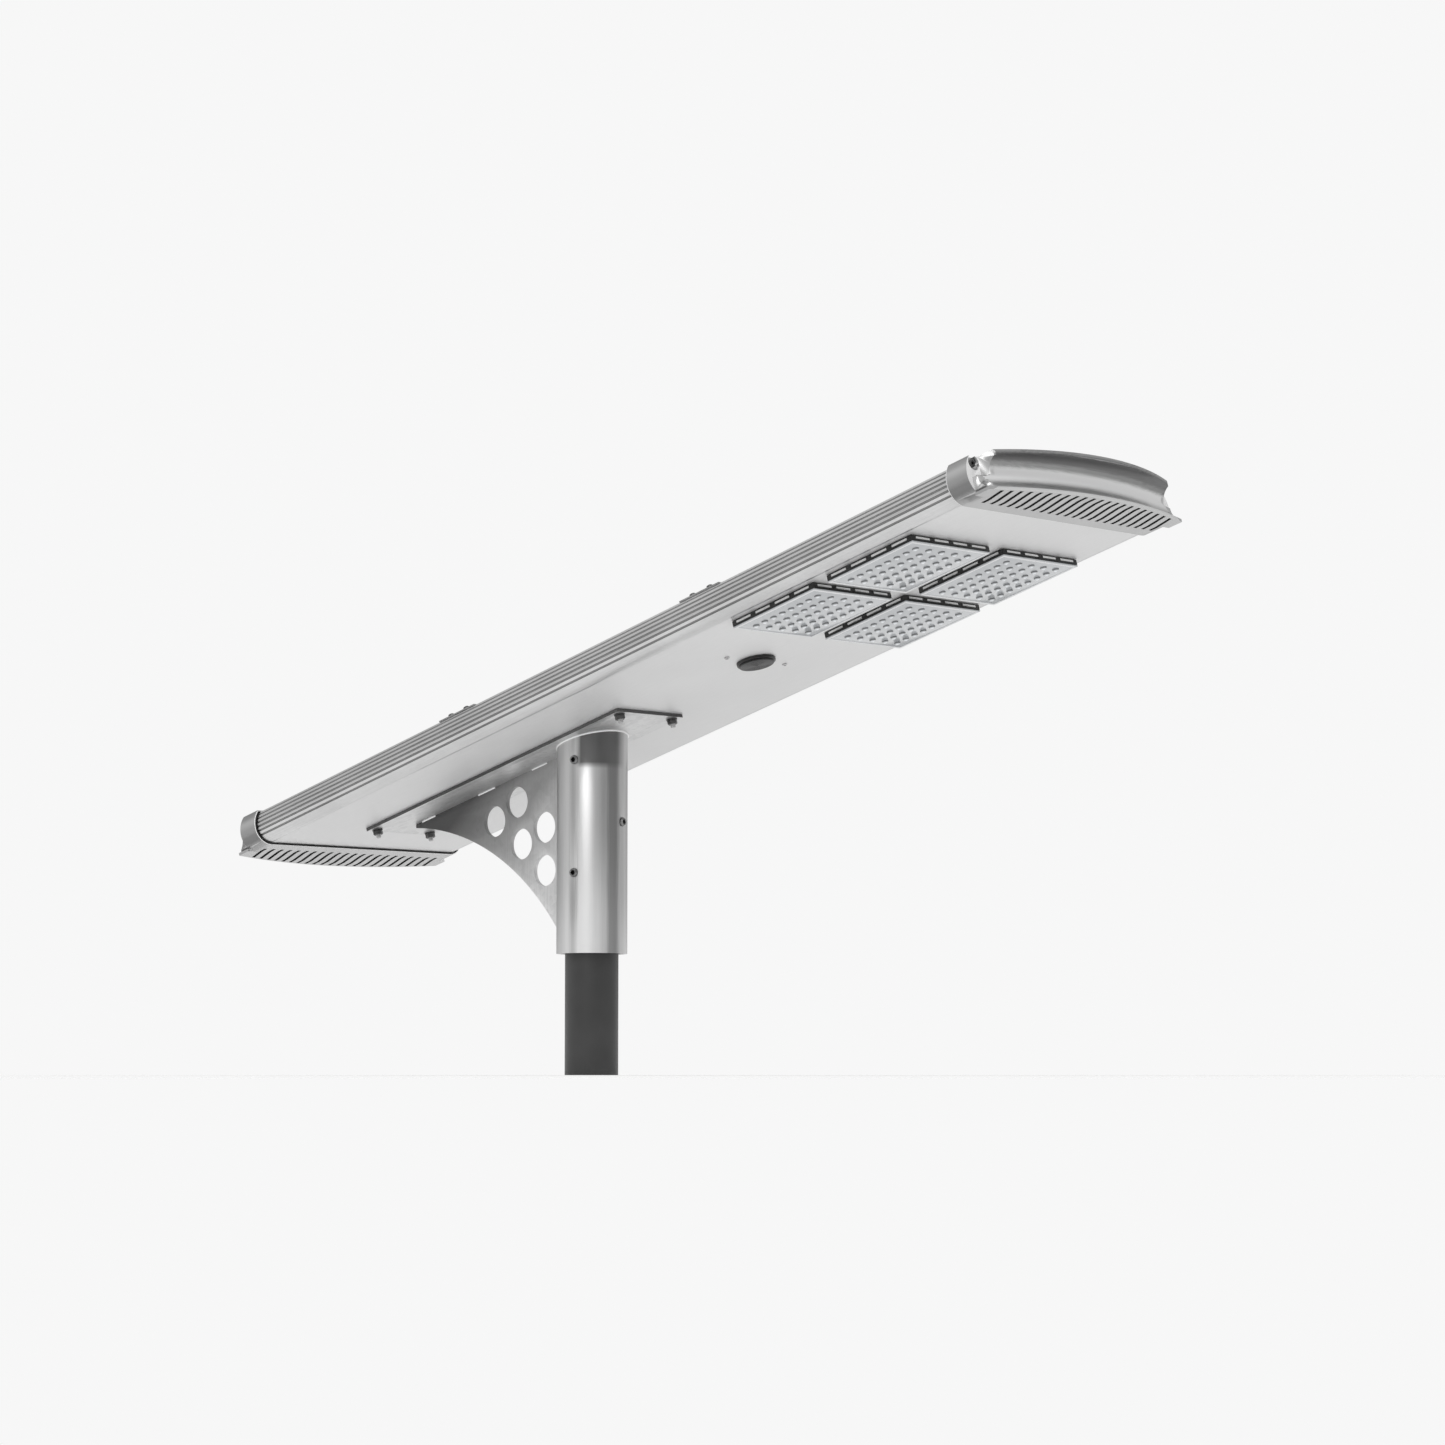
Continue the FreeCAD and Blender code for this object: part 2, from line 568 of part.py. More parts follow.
    # the lower screws sit in round sinks and the upper ones in notches that break out of the top
    sink = "cap_pad - cap_sink_deep"
    for high, wide, start in (("cap_screw_up", "cap_screw_d / 2 + screw_gap", "0"),
                              ("cap_screw_down", "cap_screw_d / 2 + screw_gap", "0"),
                              ("cap_screw_up", "cap_notch_d / 2", sink),
                              ("cap_screw_down", "cap_sink_d / 2", sink)):
        holes = sketch_on(cap, "YZ_Plane", start)
        for side in (-1, 1):
            ring(holes, f"{side} * cap_screw_in", high, wide)
        pocket(cap, holes, "brow_long", reverse=True)
    return cap


def place_at_end(thing, front, out="0"):
    """Put a piece that was drawn from a cap's mouth on the front or the rear end of the head."""
    if front:
        return place_in_head(thing, f"head_front + ({out})")
    thing.Placement = FreeCAD.Placement(FreeCAD.Vector(0, 0, 0), FreeCAD.Rotation(FreeCAD.Vector(0, 0,
                                                                                                 1), 180))
    reach = f"(head_rear + ({out}))"
    tie(thing, Placement__Rotation__Axis__x="-sin(tilt / 2)", Placement__Rotation__Axis__z="cos(tilt / 2)",
        Placement__Base__x=f"-{reach} * cos(tilt)", Placement__Base__z=f"{HEAD_UP} - {reach} * sin(tilt)")
    return thing


def gasket(name):
    """The soft frame between the end of the rails and the cap's shoulder."""
    seal = new_body(name)
    section = sketch_on(seal, "YZ_Plane", "cap_skirt - gasket_thick")
    outline(section, hull_outline("0"))
    outline(section, [("-ledge_in", "gasket_wide"), ("ledge_in", "gasket_wide"),
                      ("ledge_in", "shelf_high - gasket_wide"), ("-ledge_in", "shelf_high - gasket_wide")])
    for side in (-1, 1):
        for high in ("cap_screw_up", "cap_screw_down"):
            ring(section, f"{side} * cap_screw_in", high, "cap_screw_d / 2 + screw_gap")
    pad(seal, section, "gasket_thick")
    return seal


def screw(name, shank_d, head_d, shank_long, head_high, x, y, z, axis):
    """A round-headed screw: the underside of its head is at the point and it drives against axis."""
    back = [-part for part in axis]
    shank = rod(name + "_shank", x, y, z, f"({shank_d}) / 2", shank_long, back)
    head = rod(name + "_head", x, y, z, f"({head_d}) / 2", head_high, axis)
    return fuse(name, [shank, head])


for front, name in ((True, "front"), (False, "rear")):
    node(place_at_end(end_cap("end_cap_" + name), front), "end_cap_" + name)
    node(place_at_end(gasket("end_gasket_" + name), front), "end_gasket_" + name)
    cap_screws = [screw(f"cap_screw_{name}_{k}", "cap_screw_d", "cap_screw_head_d", "cap_screw_long",
                        "cap_screw_head", "cap_pad - cap_sink_deep", f"{side} * cap_screw_in", high, (1,
                                                                                                      0, 0))
                  for k, (side, high) in enumerate((s, w) for s in (-1, 1)
                                                   for w in ("cap_screw_up", "cap_screw_down"))]
    node(place_at_end(group("end_cap_screws_" + name, cap_screws), front), "end_cap_screws_" + name)

# ---- the solar panel and its clamps --------------------------------------------------------

panel_start = f"(-{rail_start})"
layer_low = "shelf_high"
for name, thick in (("panel_backing", "backing_thick"), ("panel_cells", "cell_thick"),
                    ("panel_glass", "glass_thick")):
    if name != "panel_cells":
        layer = box(name, panel_start, "-panel_half", layer_low, rail_long, "2 * panel_half", thick)
    else:
        cell_long = f"(({rail_long} - 2 * cap_skirt - 2 * pv_margin) / {COUNTS['pv_u']})"
        sheets = []
        for i in range(COUNTS["pv_u"]):
            for j in range(COUNTS["pv_v"]):
                sheets.append(box(f"pv_{i}_{j}",
                                  f"{panel_start} + cap_skirt + pv_margin + {i} * {cell_long} + pv_gap / 2",
                                  f"({j} - {COUNTS['pv_v'] / 2}) * (pv_cell + pv_gap) + pv_gap / 2",
                                  layer_low, f"{cell_long} - pv_gap", "pv_cell", "cell_thick"))
        layer = group("panel_cells", sheets)
    node(place_in_head(layer) if name == "panel_cells" else
         place_in_head(layer, panel_start, "-panel_half", layer_low), name)
    layer_low = f"({layer_low} + {thick})"

clamps, clamp_screws = [], []
for i, along in enumerate(("clamp_rear", "clamp_front")):
    for side in (-1, 1):
        tag = f"{i}_{side + 1}"
        low_v = "clamp_in" if side > 0 else "-(clamp_in + clamp_wide)"
        screw_v = f"{side} * cap_screw_in"
        strip = box("clamp_blank_" + tag, f"{along} - clamp_long / 2", low_v, "rail_high", "clamp_long",
                    "clamp_wide", "clamp_thick")
        holes = []
        for turn in (-1, 1):
            at = f"{along} + {turn} * clamp_screw_pitch / 2"
            holes.append(rod(f"clamp_hole_{tag}_{turn + 1}", at, screw_v, "rail_high - 1",
                             "clamp_screw_d / 2 + screw_gap", "clamp_thick + 2"))
            clamp_screws.append(screw(f"clamp_screw_{tag}_{turn + 1}", "clamp_screw_d", "clamp_screw_head_d",
                                      "clamp_thick", "clamp_screw_head", at, screw_v,
                                      "rail_high + clamp_thick", (0, 0, 1)))
        clamps.append(cut("clamp_" + tag, strip, holes))
node(place_in_head(group("panel_clamps", clamps)), "panel_clamps")
node(place_in_head(group("panel_clamp_screws", clamp_screws)), "panel_clamp_screws")

# ---- lamp modules and the motion sensor ----------------------------------------------------

module_screws = []
number = 0
for i in (-1, 1):
    for j in (-1, 1):
        number += 1
        at_u = f"(module_centre + {i} * (module_long + module_gap_u) / 2)"
        at_v = f"({j} * (module_wide + module_gap_v) / 2)"
        low_u, low_v = f"{at_u} - module_long / 2", f"{at_v} - module_wide / 2"
        frame = cut(f"lamp_frame_{number}",
                    box(f"lamp_frame_blank_{number}", low_u, low_v, "-module_high", "module_long",
                        "module_wide",
                        "module_high"),
                    [box(f"lamp_frame_opening_{number}", f"{low_u} + module_wall", f"{low_v} + module_wall",
                         "-module_high - 1", "module_long - 2 * module_wall", "module_wide - 2 * module_wall",
                         "module_high + 2")])
        node(place_in_head(frame), f"lamp_frame_{number}")
        inside = ("module_long - 2 * module_wall", "module_wide - 2 * module_wall")
        board = box(f"lamp_board_{number}", "0", "0", "0", *inside, "board_thick")
        node(place_in_head(board, f"{low_u} + module_wall", f"{low_v} + module_wall",
                           "-board_off - board_thick"),
             f"lamp_board_{number}")
        cover = box(f"lens_sheet_{number}", f"{low_u} + module_wall", f"{low_v} + module_wall",
                    "-module_high",
                    *inside, "lens_thick")
        bumps = [rod(f"lens_{number}_{a}_{b}",
                     f"{at_u} + ({a} - {(COUNTS['lens_u'] - 1) / 2}) * lens_pitch_u",
                     f"{at_v} + ({b} - {(COUNTS['lens_v'] - 1) / 2}) * lens_pitch_v",
                     "-module_high - lens_bump", "lens_round / 2", "lens_bump + 0.5")
                 for a in range(COUNTS["lens_u"]) for b in range(COUNTS["lens_v"])]
        node(place_in_head(fuse(f"lens_plate_{number}", [cover] + bumps)), f"lens_plate_{number}")

base = rod("sensor_base", "0", "0", "0", "sensor_base_d / 2", "sensor_base_high")
node(place_in_head(base, "sensor_at", "0", "-sensor_base_high"), "sensor_base")
face = rod("sensor_face", "0", "0", "0", "sensor_face_d / 2", "sensor_face_high")
node(place_in_head(face, "sensor_at", "0", "-sensor_base_high - sensor_face_high"), "sensor_face")
eye = rod("sensor_element", "0", "0", "0", "sensor_base_d / 4 - screw_gap", "floor_thick + 6")
node(place_in_head(eye, "sensor_at", "0", "0"), "sensor_element")
sensor_screws = [screw(f"sensor_screw_{side + 1}", "small_screw_d", "small_screw_head_d", "small_screw_long",
                       "small_screw_head", "sensor_at", f"{side} * sensor_screw_pitch / 2", "0", (0, 0, -1))
                 for side in (-1, 1)]
node(place_in_head(group("sensor_screws", sensor_screws)), "sensor_screws")

# ---- what is inside the head ---------------------------------------------------------------

tray_low = "(floor_thick + stiffener_thick)"
tray_long = f"({COUNTS['cells_u']} * cell_pitch_u + 2 * battery_wall)"
tray_wide = f"({COUNTS['cells_v']} * cell_pitch_v + 2 * battery_wall)"
tray_high = "(cell_d + battery_wall)"
tray = cut("battery_tray",
           box("battery_tray_blank", "-battery_rear", f"-{tray_wide} / 2", tray_low, tray_long,
               tray_wide, tray_high),
           [box("battery_tray_inside", "-battery_rear + battery_wall", f"-{tray_wide} / 2 + battery_wall",
                f"{tray_low} + battery_wall", f"{tray_long} - 2 * battery_wall",
                f"{tray_wide} - 2 * battery_wall",
                "cell_d + 1")])
node(place_in_head(tray), "battery_tray")
cells = []
for i in range(COUNTS["cells_u"]):
    for j in range(COUNTS["cells_v"]):
        cells.append(rod(f"cell_{i}_{j}", f"-battery_rear + battery_wall + ({i} + 0.5) * cell_pitch_u",
                         f"({j} - {COUNTS['cells_v'] / 2}) * cell_pitch_v + (cell_pitch_v - cell_long) / 2",
                         f"{tray_low} + battery_wall + cell_d / 2", "cell_d / 2", "cell_long", (0, 1, 0)))
node(place_in_head(group("battery_cells", cells)), "battery_cells")
cover = box("battery_cover", "0", "0", "0", tray_long, tray_wide, "battery_cover")
node(place_in_head(cover, "-battery_rear", f"-{tray_wide} / 2", f"{tray_low} + {tray_high}"), "battery_cover")

controller = box("charge_controller", "0", "0", "0", "controller_long", "controller_wide", "controller_high")
node(place_in_head(controller, "controller_at", "-controller_side - controller_wide", "floor_thick"),
     "charge_controller")
junction = box("panel_junction_box", "0", "0", "0", "box_long", "box_wide", "box_high")
node(place_in_head(junction, "box_at", "box_side", "shelf_high - box_high"), "panel_junction_box")

grommet = fuse("lead_grommet", [
    rod("grommet_neck", *LEAD_HOLE, "0", "grommet_d / 2", "floor_thick + 1"),
    rod("grommet_collar", *LEAD_HOLE, "floor_thick", "grommet_d / 2 + grommet_lip", "grommet_lip"),
    rod("grommet_top", *LEAD_HOLE, "floor_thick", "lead_d / 2 + grommet_lip", "grommet_high"),
])
node(place_in_head(grommet), "lead_grommet")


def lead(name, corners, radius):
    """A round lead along straight runs joined by arcs, from one fitting to the next."""
    points = [FreeCAD.Vector(*[size(part) for part in corner]) for corner in corners]
    edges, start = [], points[0]
    for before, here, after in zip(points, points[1:], points[2:]):
        inward = (before - here).normalize()
        outward = (after - here).normalize()
        half_turn = (math.pi - inward.getAngle(outward)) / 2
        reach = 0.45 * min((before - here).Length, (after - here).Length)
        bend = reach / math.tan(half_turn)
        begin, finish = here + inward * reach, here + outward * reach
        middle_way = (inward + outward).normalize()
        centre = here + middle_way * math.hypot(reach, bend)
        middle = centre - middle_way * bend
        edges += [Part.LineSegment(start, begin).toShape(), Part.Arc(begin, middle, finish).toShape()]
        start = finish
    edges.append(Part.LineSegment(start, points[-1]).toShape())
    path = Part.Wire(edges)
    direction = (points[1] - points[0]).normalize()
    profile = Part.Wire(Part.Circle(points[0], direction, size(radius)).toShape())
    tube = path.makePipeShell([profile], True, True)
    feature = doc.addObject("Part::Feature", name)
    feature.Shape = tube
    return feature


LEADS = {
    "battery_lead": [(f"-battery_rear + {tray_long}", "-battery_lead_side", "lead_high"),
                     ("controller_at", "-battery_lead_side", "lead_high")],
    "panel_lead": [("box_at", "box_side + box_wide / 2", "shelf_high - box_high / 2"),
                   ("box_at - 40", "box_side + box_wide / 2", "shelf_high - box_high / 2"),
                   ("controller_at + controller_long / 2", "10", "lead_high"),
                   ("controller_at + controller_long / 2", "-controller_side", "lead_high")],
    "lamp_lead": [("controller_at + controller_long", "-60", "lead_high"),
                  ("controller_at + controller_long + 50", "-60", "lead_high"),
                  (f"{LEAD_HOLE[0]} - 50", LEAD_HOLE[1], "floor_thick + grommet_high + 12"),
                  (*LEAD_HOLE, "floor_thick + grommet_high + 12"),
                  (*LEAD_HOLE, "floor_thick + grommet_high")],
}
for name, corners in LEADS.items():
    feature = lead(name, corners, "lead_d / 2")
    node(place_in_head(feature), name)

# ---- check and write -----------------------------------------------------------------------

doc.recompute()
for thing in doc.Objects:
    if "Invalid" in thing.State or "Error" in thing.State:
        raise RuntimeError(f"{thing.Label} did not build: {thing.State}")
for thing in nodes:
    if thing.Shape.isNull() or not thing.Shape.isValid() or not thing.Shape.Solids:
        raise RuntimeError(f"{thing.Label} is not a valid solid")

os.makedirs("parts", exist_ok=True)
for thing in nodes:
    thing.Shape.exportStep(f"parts/{thing.Label}.step")
    box_size = thing.Shape.BoundBox
    print(f"{thing.Label}: {len(thing.Shape.Solids)} solids, {thing.Shape.Volume / 1000:.1f} cm3, "
          f"x {box_size.XMin:.1f}..{box_size.XMax:.1f}, z {box_size.ZMin:.1f}..{box_size.ZMax:.1f}")
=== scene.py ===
# %% [markdown]
# # An all-in-one solar street lamp
# The lamp is already designed: a imported model holds every part in its true place. Here each part
# gets its finished shape and surface. The first thing a scene needs is that frame, so it is
# loaded before anything else.

import json
import math
import random

import bmesh
import bpy
from mathutils import Matrix, Vector

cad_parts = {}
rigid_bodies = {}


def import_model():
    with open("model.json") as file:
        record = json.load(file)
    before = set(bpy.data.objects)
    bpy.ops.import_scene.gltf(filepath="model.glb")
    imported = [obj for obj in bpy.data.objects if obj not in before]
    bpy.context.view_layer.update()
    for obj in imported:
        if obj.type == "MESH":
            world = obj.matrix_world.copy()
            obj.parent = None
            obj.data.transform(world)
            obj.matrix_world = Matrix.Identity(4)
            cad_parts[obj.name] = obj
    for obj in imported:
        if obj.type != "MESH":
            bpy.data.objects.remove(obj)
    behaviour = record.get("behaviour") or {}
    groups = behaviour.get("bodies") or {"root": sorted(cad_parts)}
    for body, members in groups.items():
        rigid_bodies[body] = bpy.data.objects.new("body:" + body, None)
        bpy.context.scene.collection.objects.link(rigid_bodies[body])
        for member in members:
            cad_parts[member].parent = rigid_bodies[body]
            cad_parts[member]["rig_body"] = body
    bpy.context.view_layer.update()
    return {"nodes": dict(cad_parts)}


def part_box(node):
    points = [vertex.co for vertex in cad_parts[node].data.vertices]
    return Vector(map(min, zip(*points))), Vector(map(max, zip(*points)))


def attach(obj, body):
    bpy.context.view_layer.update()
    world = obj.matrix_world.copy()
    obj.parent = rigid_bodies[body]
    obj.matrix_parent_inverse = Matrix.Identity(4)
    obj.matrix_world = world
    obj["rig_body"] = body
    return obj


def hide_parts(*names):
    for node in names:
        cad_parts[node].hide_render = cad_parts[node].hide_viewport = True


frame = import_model()
nodes = frame["nodes"]
scene = bpy.context.scene

# %% [markdown]
# The head is tilted fifteen degrees on its bracket, so working in upright coordinates would be
# awkward. A matrix fixes that: a point is given in millimetres along the head (u), across it (v)
# and out of its back (w), and the matrix turns it into the lamp's own metres. Its origin is where
# the pole's axis meets the underside of the head.

# %% The head's own axes
MM = 0.001
TILT = math.radians(15)
HEAD_UP = 380
HEAD = Matrix.Translation((0, 0, HEAD_UP * MM)) @ Matrix.Rotation(-TILT, 4, "Y") @ Matrix.Scale(MM, 4)
UPRIGHT = Matrix.Scale(MM, 4)
TO_HEAD = HEAD.inverted()


def head_span(name):
    """Lowest and highest corner of a part, in head millimetres."""
    spots = [TO_HEAD @ v.co for v in nodes[name].data.vertices]
    return [Vector(pick(p[k] for p in spots) for k in range(3)) for pick in (min, max)]


LENS_LEVEL = -head_span("lamp_frame_1")[0].z
low, high = head_span("floor_plate")
print("the floor plate in the head's axes:", [round(v, 1) for v in (*low, *high)])

# %% [markdown]
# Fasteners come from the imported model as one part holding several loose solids. To dress each of
# them their places are needed. Walking over the joined-up faces of a merged copy finds every
# separate solid, and the middle of its box is its place.

# %% Find the separate solids of a part
def merged(name):
    """A merged copy of a part's loose triangles, as bmesh."""
    mesh = bmesh.new()
    mesh.from_mesh(nodes[name].data)
    bmesh.ops.remove_doubles(mesh, verts=mesh.verts, dist=2e-6)
    return mesh


def solids_of(name):
    """The box of every separate solid of a part, in head millimetres."""
    mesh = merged(name)
    left, spans = set(mesh.verts), []
    while left:
        todo, island = [left.pop()], []
        while todo:
            vert = todo.pop()
            island.append(TO_HEAD @ vert.co)
            for edge in vert.link_edges:
                other = edge.other_vert(vert)
                if other in left:
                    left.remove(other)
                    todo.append(other)
        spans.append([Vector(pick(p[k] for p in island) for k in range(3)) for pick in (min, max)])
    mesh.free()
    return sorted(spans, key=lambda s: (round(s[0].x), round(s[0].y)))


nuts_at = solids_of("mount_nuts")
print("nuts at", [tuple(round(v, 1) for v in (a + b) / 2) for a, b in nuts_at])

# %% [markdown]
# ## Finishes
# Every surface has its own node material. Two short helpers keep them readable: one adds a node
# and wires it, the other starts a material around the Principled shader. A value that is the same
# all over goes straight on the shader's socket.

# %% Node helpers
def add(tree, kind, wires=None, **settings):
    """Add one node: settings are its properties, wires are its sockets' sources or plain values."""
    node = tree.nodes.new(kind)
    for key, value in settings.items():
        setattr(node, key, value)
    for key, source in (wires or {}).items():
        if isinstance(source, bpy.types.NodeSocket):
            tree.links.new(source, node.inputs[key])
        else:
            node.inputs[key].default_value = source
    return node


def grey(level, warmth=0.0):
    """A neutral colour by how light it looks, with a touch of warmth or of blue."""
    value = level ** 2.2
    return (value * (1 + warmth), value, value * (1 - warmth), 1)


def start_finish(name, metallic, roughness, **sockets):
    material = bpy.data.materials.new(name)
    material.use_nodes = True
    shader = material.node_tree.nodes["Principled BSDF"]
    shader.inputs["Metallic"].default_value = metallic
    shader.inputs["Roughness"].default_value = roughness
    for label, value in sockets.items():
        shader.inputs[label.replace("_", " ")].default_value = value
    return material, material.node_tree, shader


# %% [markdown]
# A rolled, drawn or brushed metal carries fine lines along one direction. Noise makes them when
# its space is stretched: the Mapping node first turns the object's own coordinates into the head's
# axes, then divides each by a length, so a long first length gives long scratches. A second, much
# larger noise adds the slow clouding that keeps a big sheet from looking like plastic.

# %% Coordinates and grain
def coordinates(tree, lengths=(1, 1, 1), in_head=True):
    """Object coordinates, in the head's axes or upright, divided by the given lengths in metres."""
    place = add(tree, "ShaderNodeTexCoord")
    return add(tree, "ShaderNodeMapping", {
        "Vector": place.outputs["Object"],
        "Location": (0, 0, HEAD_UP * MM if in_head else 0),
        "Rotation": (0, -TILT if in_head else 0, 0),
        "Scale": lengths}, vector_type="TEXTURE").outputs["Vector"]


def noise(tree, where, scale=1.0, detail=4.0, roughness=0.55):
    return add(tree, "ShaderNodeTexNoise", {"Vector": where, "Scale": scale, "Detail": detail,
                                            "Roughness": roughness}).outputs["Fac"]


def blend(tree, factor, dark, light, low=0.0, high=1.0):
    """A colour between two, as the factor runs from low to high."""
    spread = add(tree, "ShaderNodeMapRange", {"Value": factor, "From Min": low, "From Max": high})
    mix = add(tree, "ShaderNodeMix", {"Factor": spread.outputs["Result"], "A": dark, "B": light},
              data_type="RGBA")
    for label, value in (("A", dark), ("B", light)):
        socket = [s for s in mix.inputs if s.name == label and s.type == "RGBA"][0]
        if isinstance(value, bpy.types.NodeSocket):
            tree.links.new(value, socket)
        else:
            socket.default_value = value
    return [s for s in mix.outputs if s.type == "RGBA"][0]


def ranged(tree, factor, low, high, source_low=0.3, source_high=0.7):
    return add(tree, "ShaderNodeMapRange", {
        "Value": factor, "From Min": source_low, "From Max": source_high,
        "To Min": low, "To Max": high}).outputs["Result"]


def relief(tree, shader, height, depth_mm, strength=1.0):
    bump = add(tree, "ShaderNodeBump", {"Height": height, "Strength": strength, "Distance": depth_mm * MM})
    tree.links.new(bump.outputs["Normal"], shader.inputs["Normal"])


def grained_metal(name, dark, light, roughness, lengths, cloud=0.12, depth=0.02, in_head=True, metallic=1.0):
    """Metal with fine lines along the longest of the given lengths, and slow clouding."""
    material, tree, shader = start_finish(name, metallic, roughness)
    fine = noise(tree, coordinates(tree, lengths, in_head), detail=3)
    slow = noise(tree, coordinates(tree, (cloud, cloud, cloud), in_head), detail=2)
    both = add(tree, "ShaderNodeMath", {0: fine, 1: slow}, operation="ADD").outputs[0]
    tree.links.new(blend(tree, both, dark, light, 0.7, 1.3), shader.inputs["Base Color"])
    tree.links.new(ranged(tree, fine, roughness - 0.05, roughness + 0.07), shader.inputs["Roughness"])
    relief(tree, shader, fine, depth)
    return material


# %% [markdown]
# The head's floor is a satin anodised sheet, the rails are drawn aluminium with lines along the
# head, and the caps are cast and then brushed across. They are the same metal at three settings.

# %% Aluminium finishes
sheet_aluminium = grained_metal("satin_sheet_aluminium", grey(0.86), grey(0.9), 0.5,
                                (0.03, 0.0012, 0.0012), cloud=0.25, depth=0.005, metallic=0.7)
drawn_aluminium = grained_metal("drawn_rail_aluminium", grey(0.8), grey(0.88), 0.34,
                                (0.08, 0.0007, 0.0007), depth=0.006)
# Darker metal for the sides of the rail grooves: painted shade.
groove_painted_shade = grained_metal("rail_groove_painted_shade", grey(0.55), grey(0.63), 0.5, (0.08, 0.0007, 0.0007))
cast_aluminium = grained_metal("brushed_cast_aluminium", grey(0.73), grey(0.78), 0.36,
                               (0.0009, 0.05, 0.0009), cloud=0.09, depth=0.004)
# Near-black metal for the cap slots: painted shade.
slot_painted_shade = grained_metal("cap_slot_painted_shade", grey(0.2), grey(0.27), 0.6, (0.002, 0.002, 0.002),
                           metallic=0.6)
# Near-white and barely metallic: the caps' bright lands, and on the mouths' bead a painted highlight.
land_face_and_painted_highlight = grained_metal("bright_land_face_and_painted_highlight", grey(0.97), grey(0.99), 0.5,
                              (0.001, 0.02, 0.001), cloud=0.05, depth=0.002, metallic=0.15)
lamp_bar_metal = grained_metal("bright_bar_metal", grey(0.86), grey(0.95), 0.3,
                               (0.01, 0.001, 0.001), depth=0.003)


def toned(name, axis, stops, roughness, in_head=True, lengths=(0.0012, 0.04, 0.0012)):
    """Metal whose lightness changes with the place along one axis, given as (millimetres, level)."""
    material, tree, shader = start_finish(name, 1.0, roughness)
    along = add(tree, "ShaderNodeVectorMath", {0: coordinates(tree, in_head=in_head), 1: axis},
                operation="DOT_PRODUCT").outputs["Value"]
    first, last = stops[0][0], stops[-1][0]
    spread = add(tree, "ShaderNodeMapRange", {"Value": along, "From Min": first * MM, "From Max": last * MM})
    fine = noise(tree, coordinates(tree, lengths, in_head), detail=2)
    shift = add(tree, "ShaderNodeMath", {0: fine, 1: 0.06, 2: spread.outputs["Result"]},
                operation="MULTIPLY_ADD")
    ramp = add(tree, "ShaderNodeValToRGB", {"Fac": shift.outputs[0]})
    ramp.color_ramp.interpolation = "EASE"
    for k, (place, level) in enumerate(stops):
        spot = (place - first) / (last - first)
        stop = ramp.color_ramp.elements[k] if k < 2 else ramp.color_ramp.elements.new(spot)
        stop.position, stop.color = spot, grey(level)
    tree.links.new(ramp.outputs["Color"], shader.inputs["Base Color"])
    tree.links.new(ranged(tree, fine, roughness - 0.04, roughness + 0.06), shader.inputs["Roughness"])
    return material, tree, shader


# The cove and barrel tones change with height: painted reflections, with painted shade under the cove's top
# lip.
UPWARDS = (0, 0, 1)
cove_painted_light, _, _ = toned("cove_painted_reflection_and_shade", UPWARDS, [(-3, 0.95), (1, 0.9), (8, 0.76), (17, 0.95), (24, 0.97),
                                                   (29, 0.62), (33, 0.44), (36, 0.42), (40, 0.66)], 0.32)
barrel_painted_reflection, _, _ = toned("brushed_barrel_painted_reflection", UPWARDS, [(-3, 0.74), (1, 0.66), (6, 0.5), (11, 0.52), (18, 0.7),
                                                       (28, 0.8), (36, 0.66), (40, 0.6)], 0.34)
print("aluminium finishes ready")

# %% [markdown]
# The bracket is galvanised steel. Zinc sets in flat crystals a few millimetres wide, each
# reflecting a little differently, which a Voronoi texture gives: every cell has one random value.
# The web darkens with height, towards the corner where it meets the plate: painted shade. The sleeve
# has lighter and darker bands round it, painted reflections, and a dark area at its top, a painted
# shadow of the plate above. These tones stand in for the light and shade a real lamp would get from
# its surroundings. They are painted by place, so they turn with the lamp, which real light would not do.

# %% Galvanised steel
def galvanised(name, dark, light, roughness, crystal=0.006, streak=(0.0009, 0.0009, 0.06), in_head=False):
    material, tree, shader = start_finish(name, 1.0, roughness)
    where = coordinates(tree, (1, 1, 1), in_head)
    crystals = add(tree, "ShaderNodeTexVoronoi", {"Vector": where, "Scale": 1 / crystal, "Randomness": 1.0})
    tone = add(tree, "ShaderNodeSeparateColor", {"Color": crystals.outputs["Color"]}).outputs[0]
    lines = noise(tree, coordinates(tree, streak, in_head), detail=3)
    speck = noise(tree, where, scale=1400, detail=2)
    both = add(tree, "ShaderNodeMath", {0: tone, 1: lines}, operation="MULTIPLY_ADD").outputs[0]
    both.node.inputs[1].default_value = 0.2
    tree.links.new(lines, both.node.inputs[2])
    tree.links.new(blend(tree, both, dark, light, 0.3, 0.9), shader.inputs["Base Color"])
    tree.links.new(ranged(tree, speck, roughness - 0.04, roughness + 0.06), shader.inputs["Roughness"])
    relief(tree, shader, add(tree, "ShaderNodeMath", {0: speck, 1: lines}, operation="ADD").outputs[0], 0.012)
    return material, tree, shader


ACROSS = (0.693, 0.721, 0)
# Lighter and darker bands across the sleeve: painted reflections.
SLEEVE_PAINTED_REFLECTIONS = [(-42, 0.68), (-33, 0.78), (-25, 0.86), (-19, 0.76), (-12, 0.9), (-3, 0.92), (8, 0.84),
                (17, 0.76),
                (23, 0.56), (29, 0.54), (35, 0.76), (42, 0.84)]
sleeve_zinc, tree, shader = toned("galvanised_sleeve", ACROSS, SLEEVE_PAINTED_REFLECTIONS, 0.33, False,
                                  (0.0009, 0.0009, 0.05))
place = coordinates(tree, in_head=False)
across = add(tree, "ShaderNodeVectorMath", {0: place, 1: ACROSS}, operation="DOT_PRODUCT").outputs["Value"]
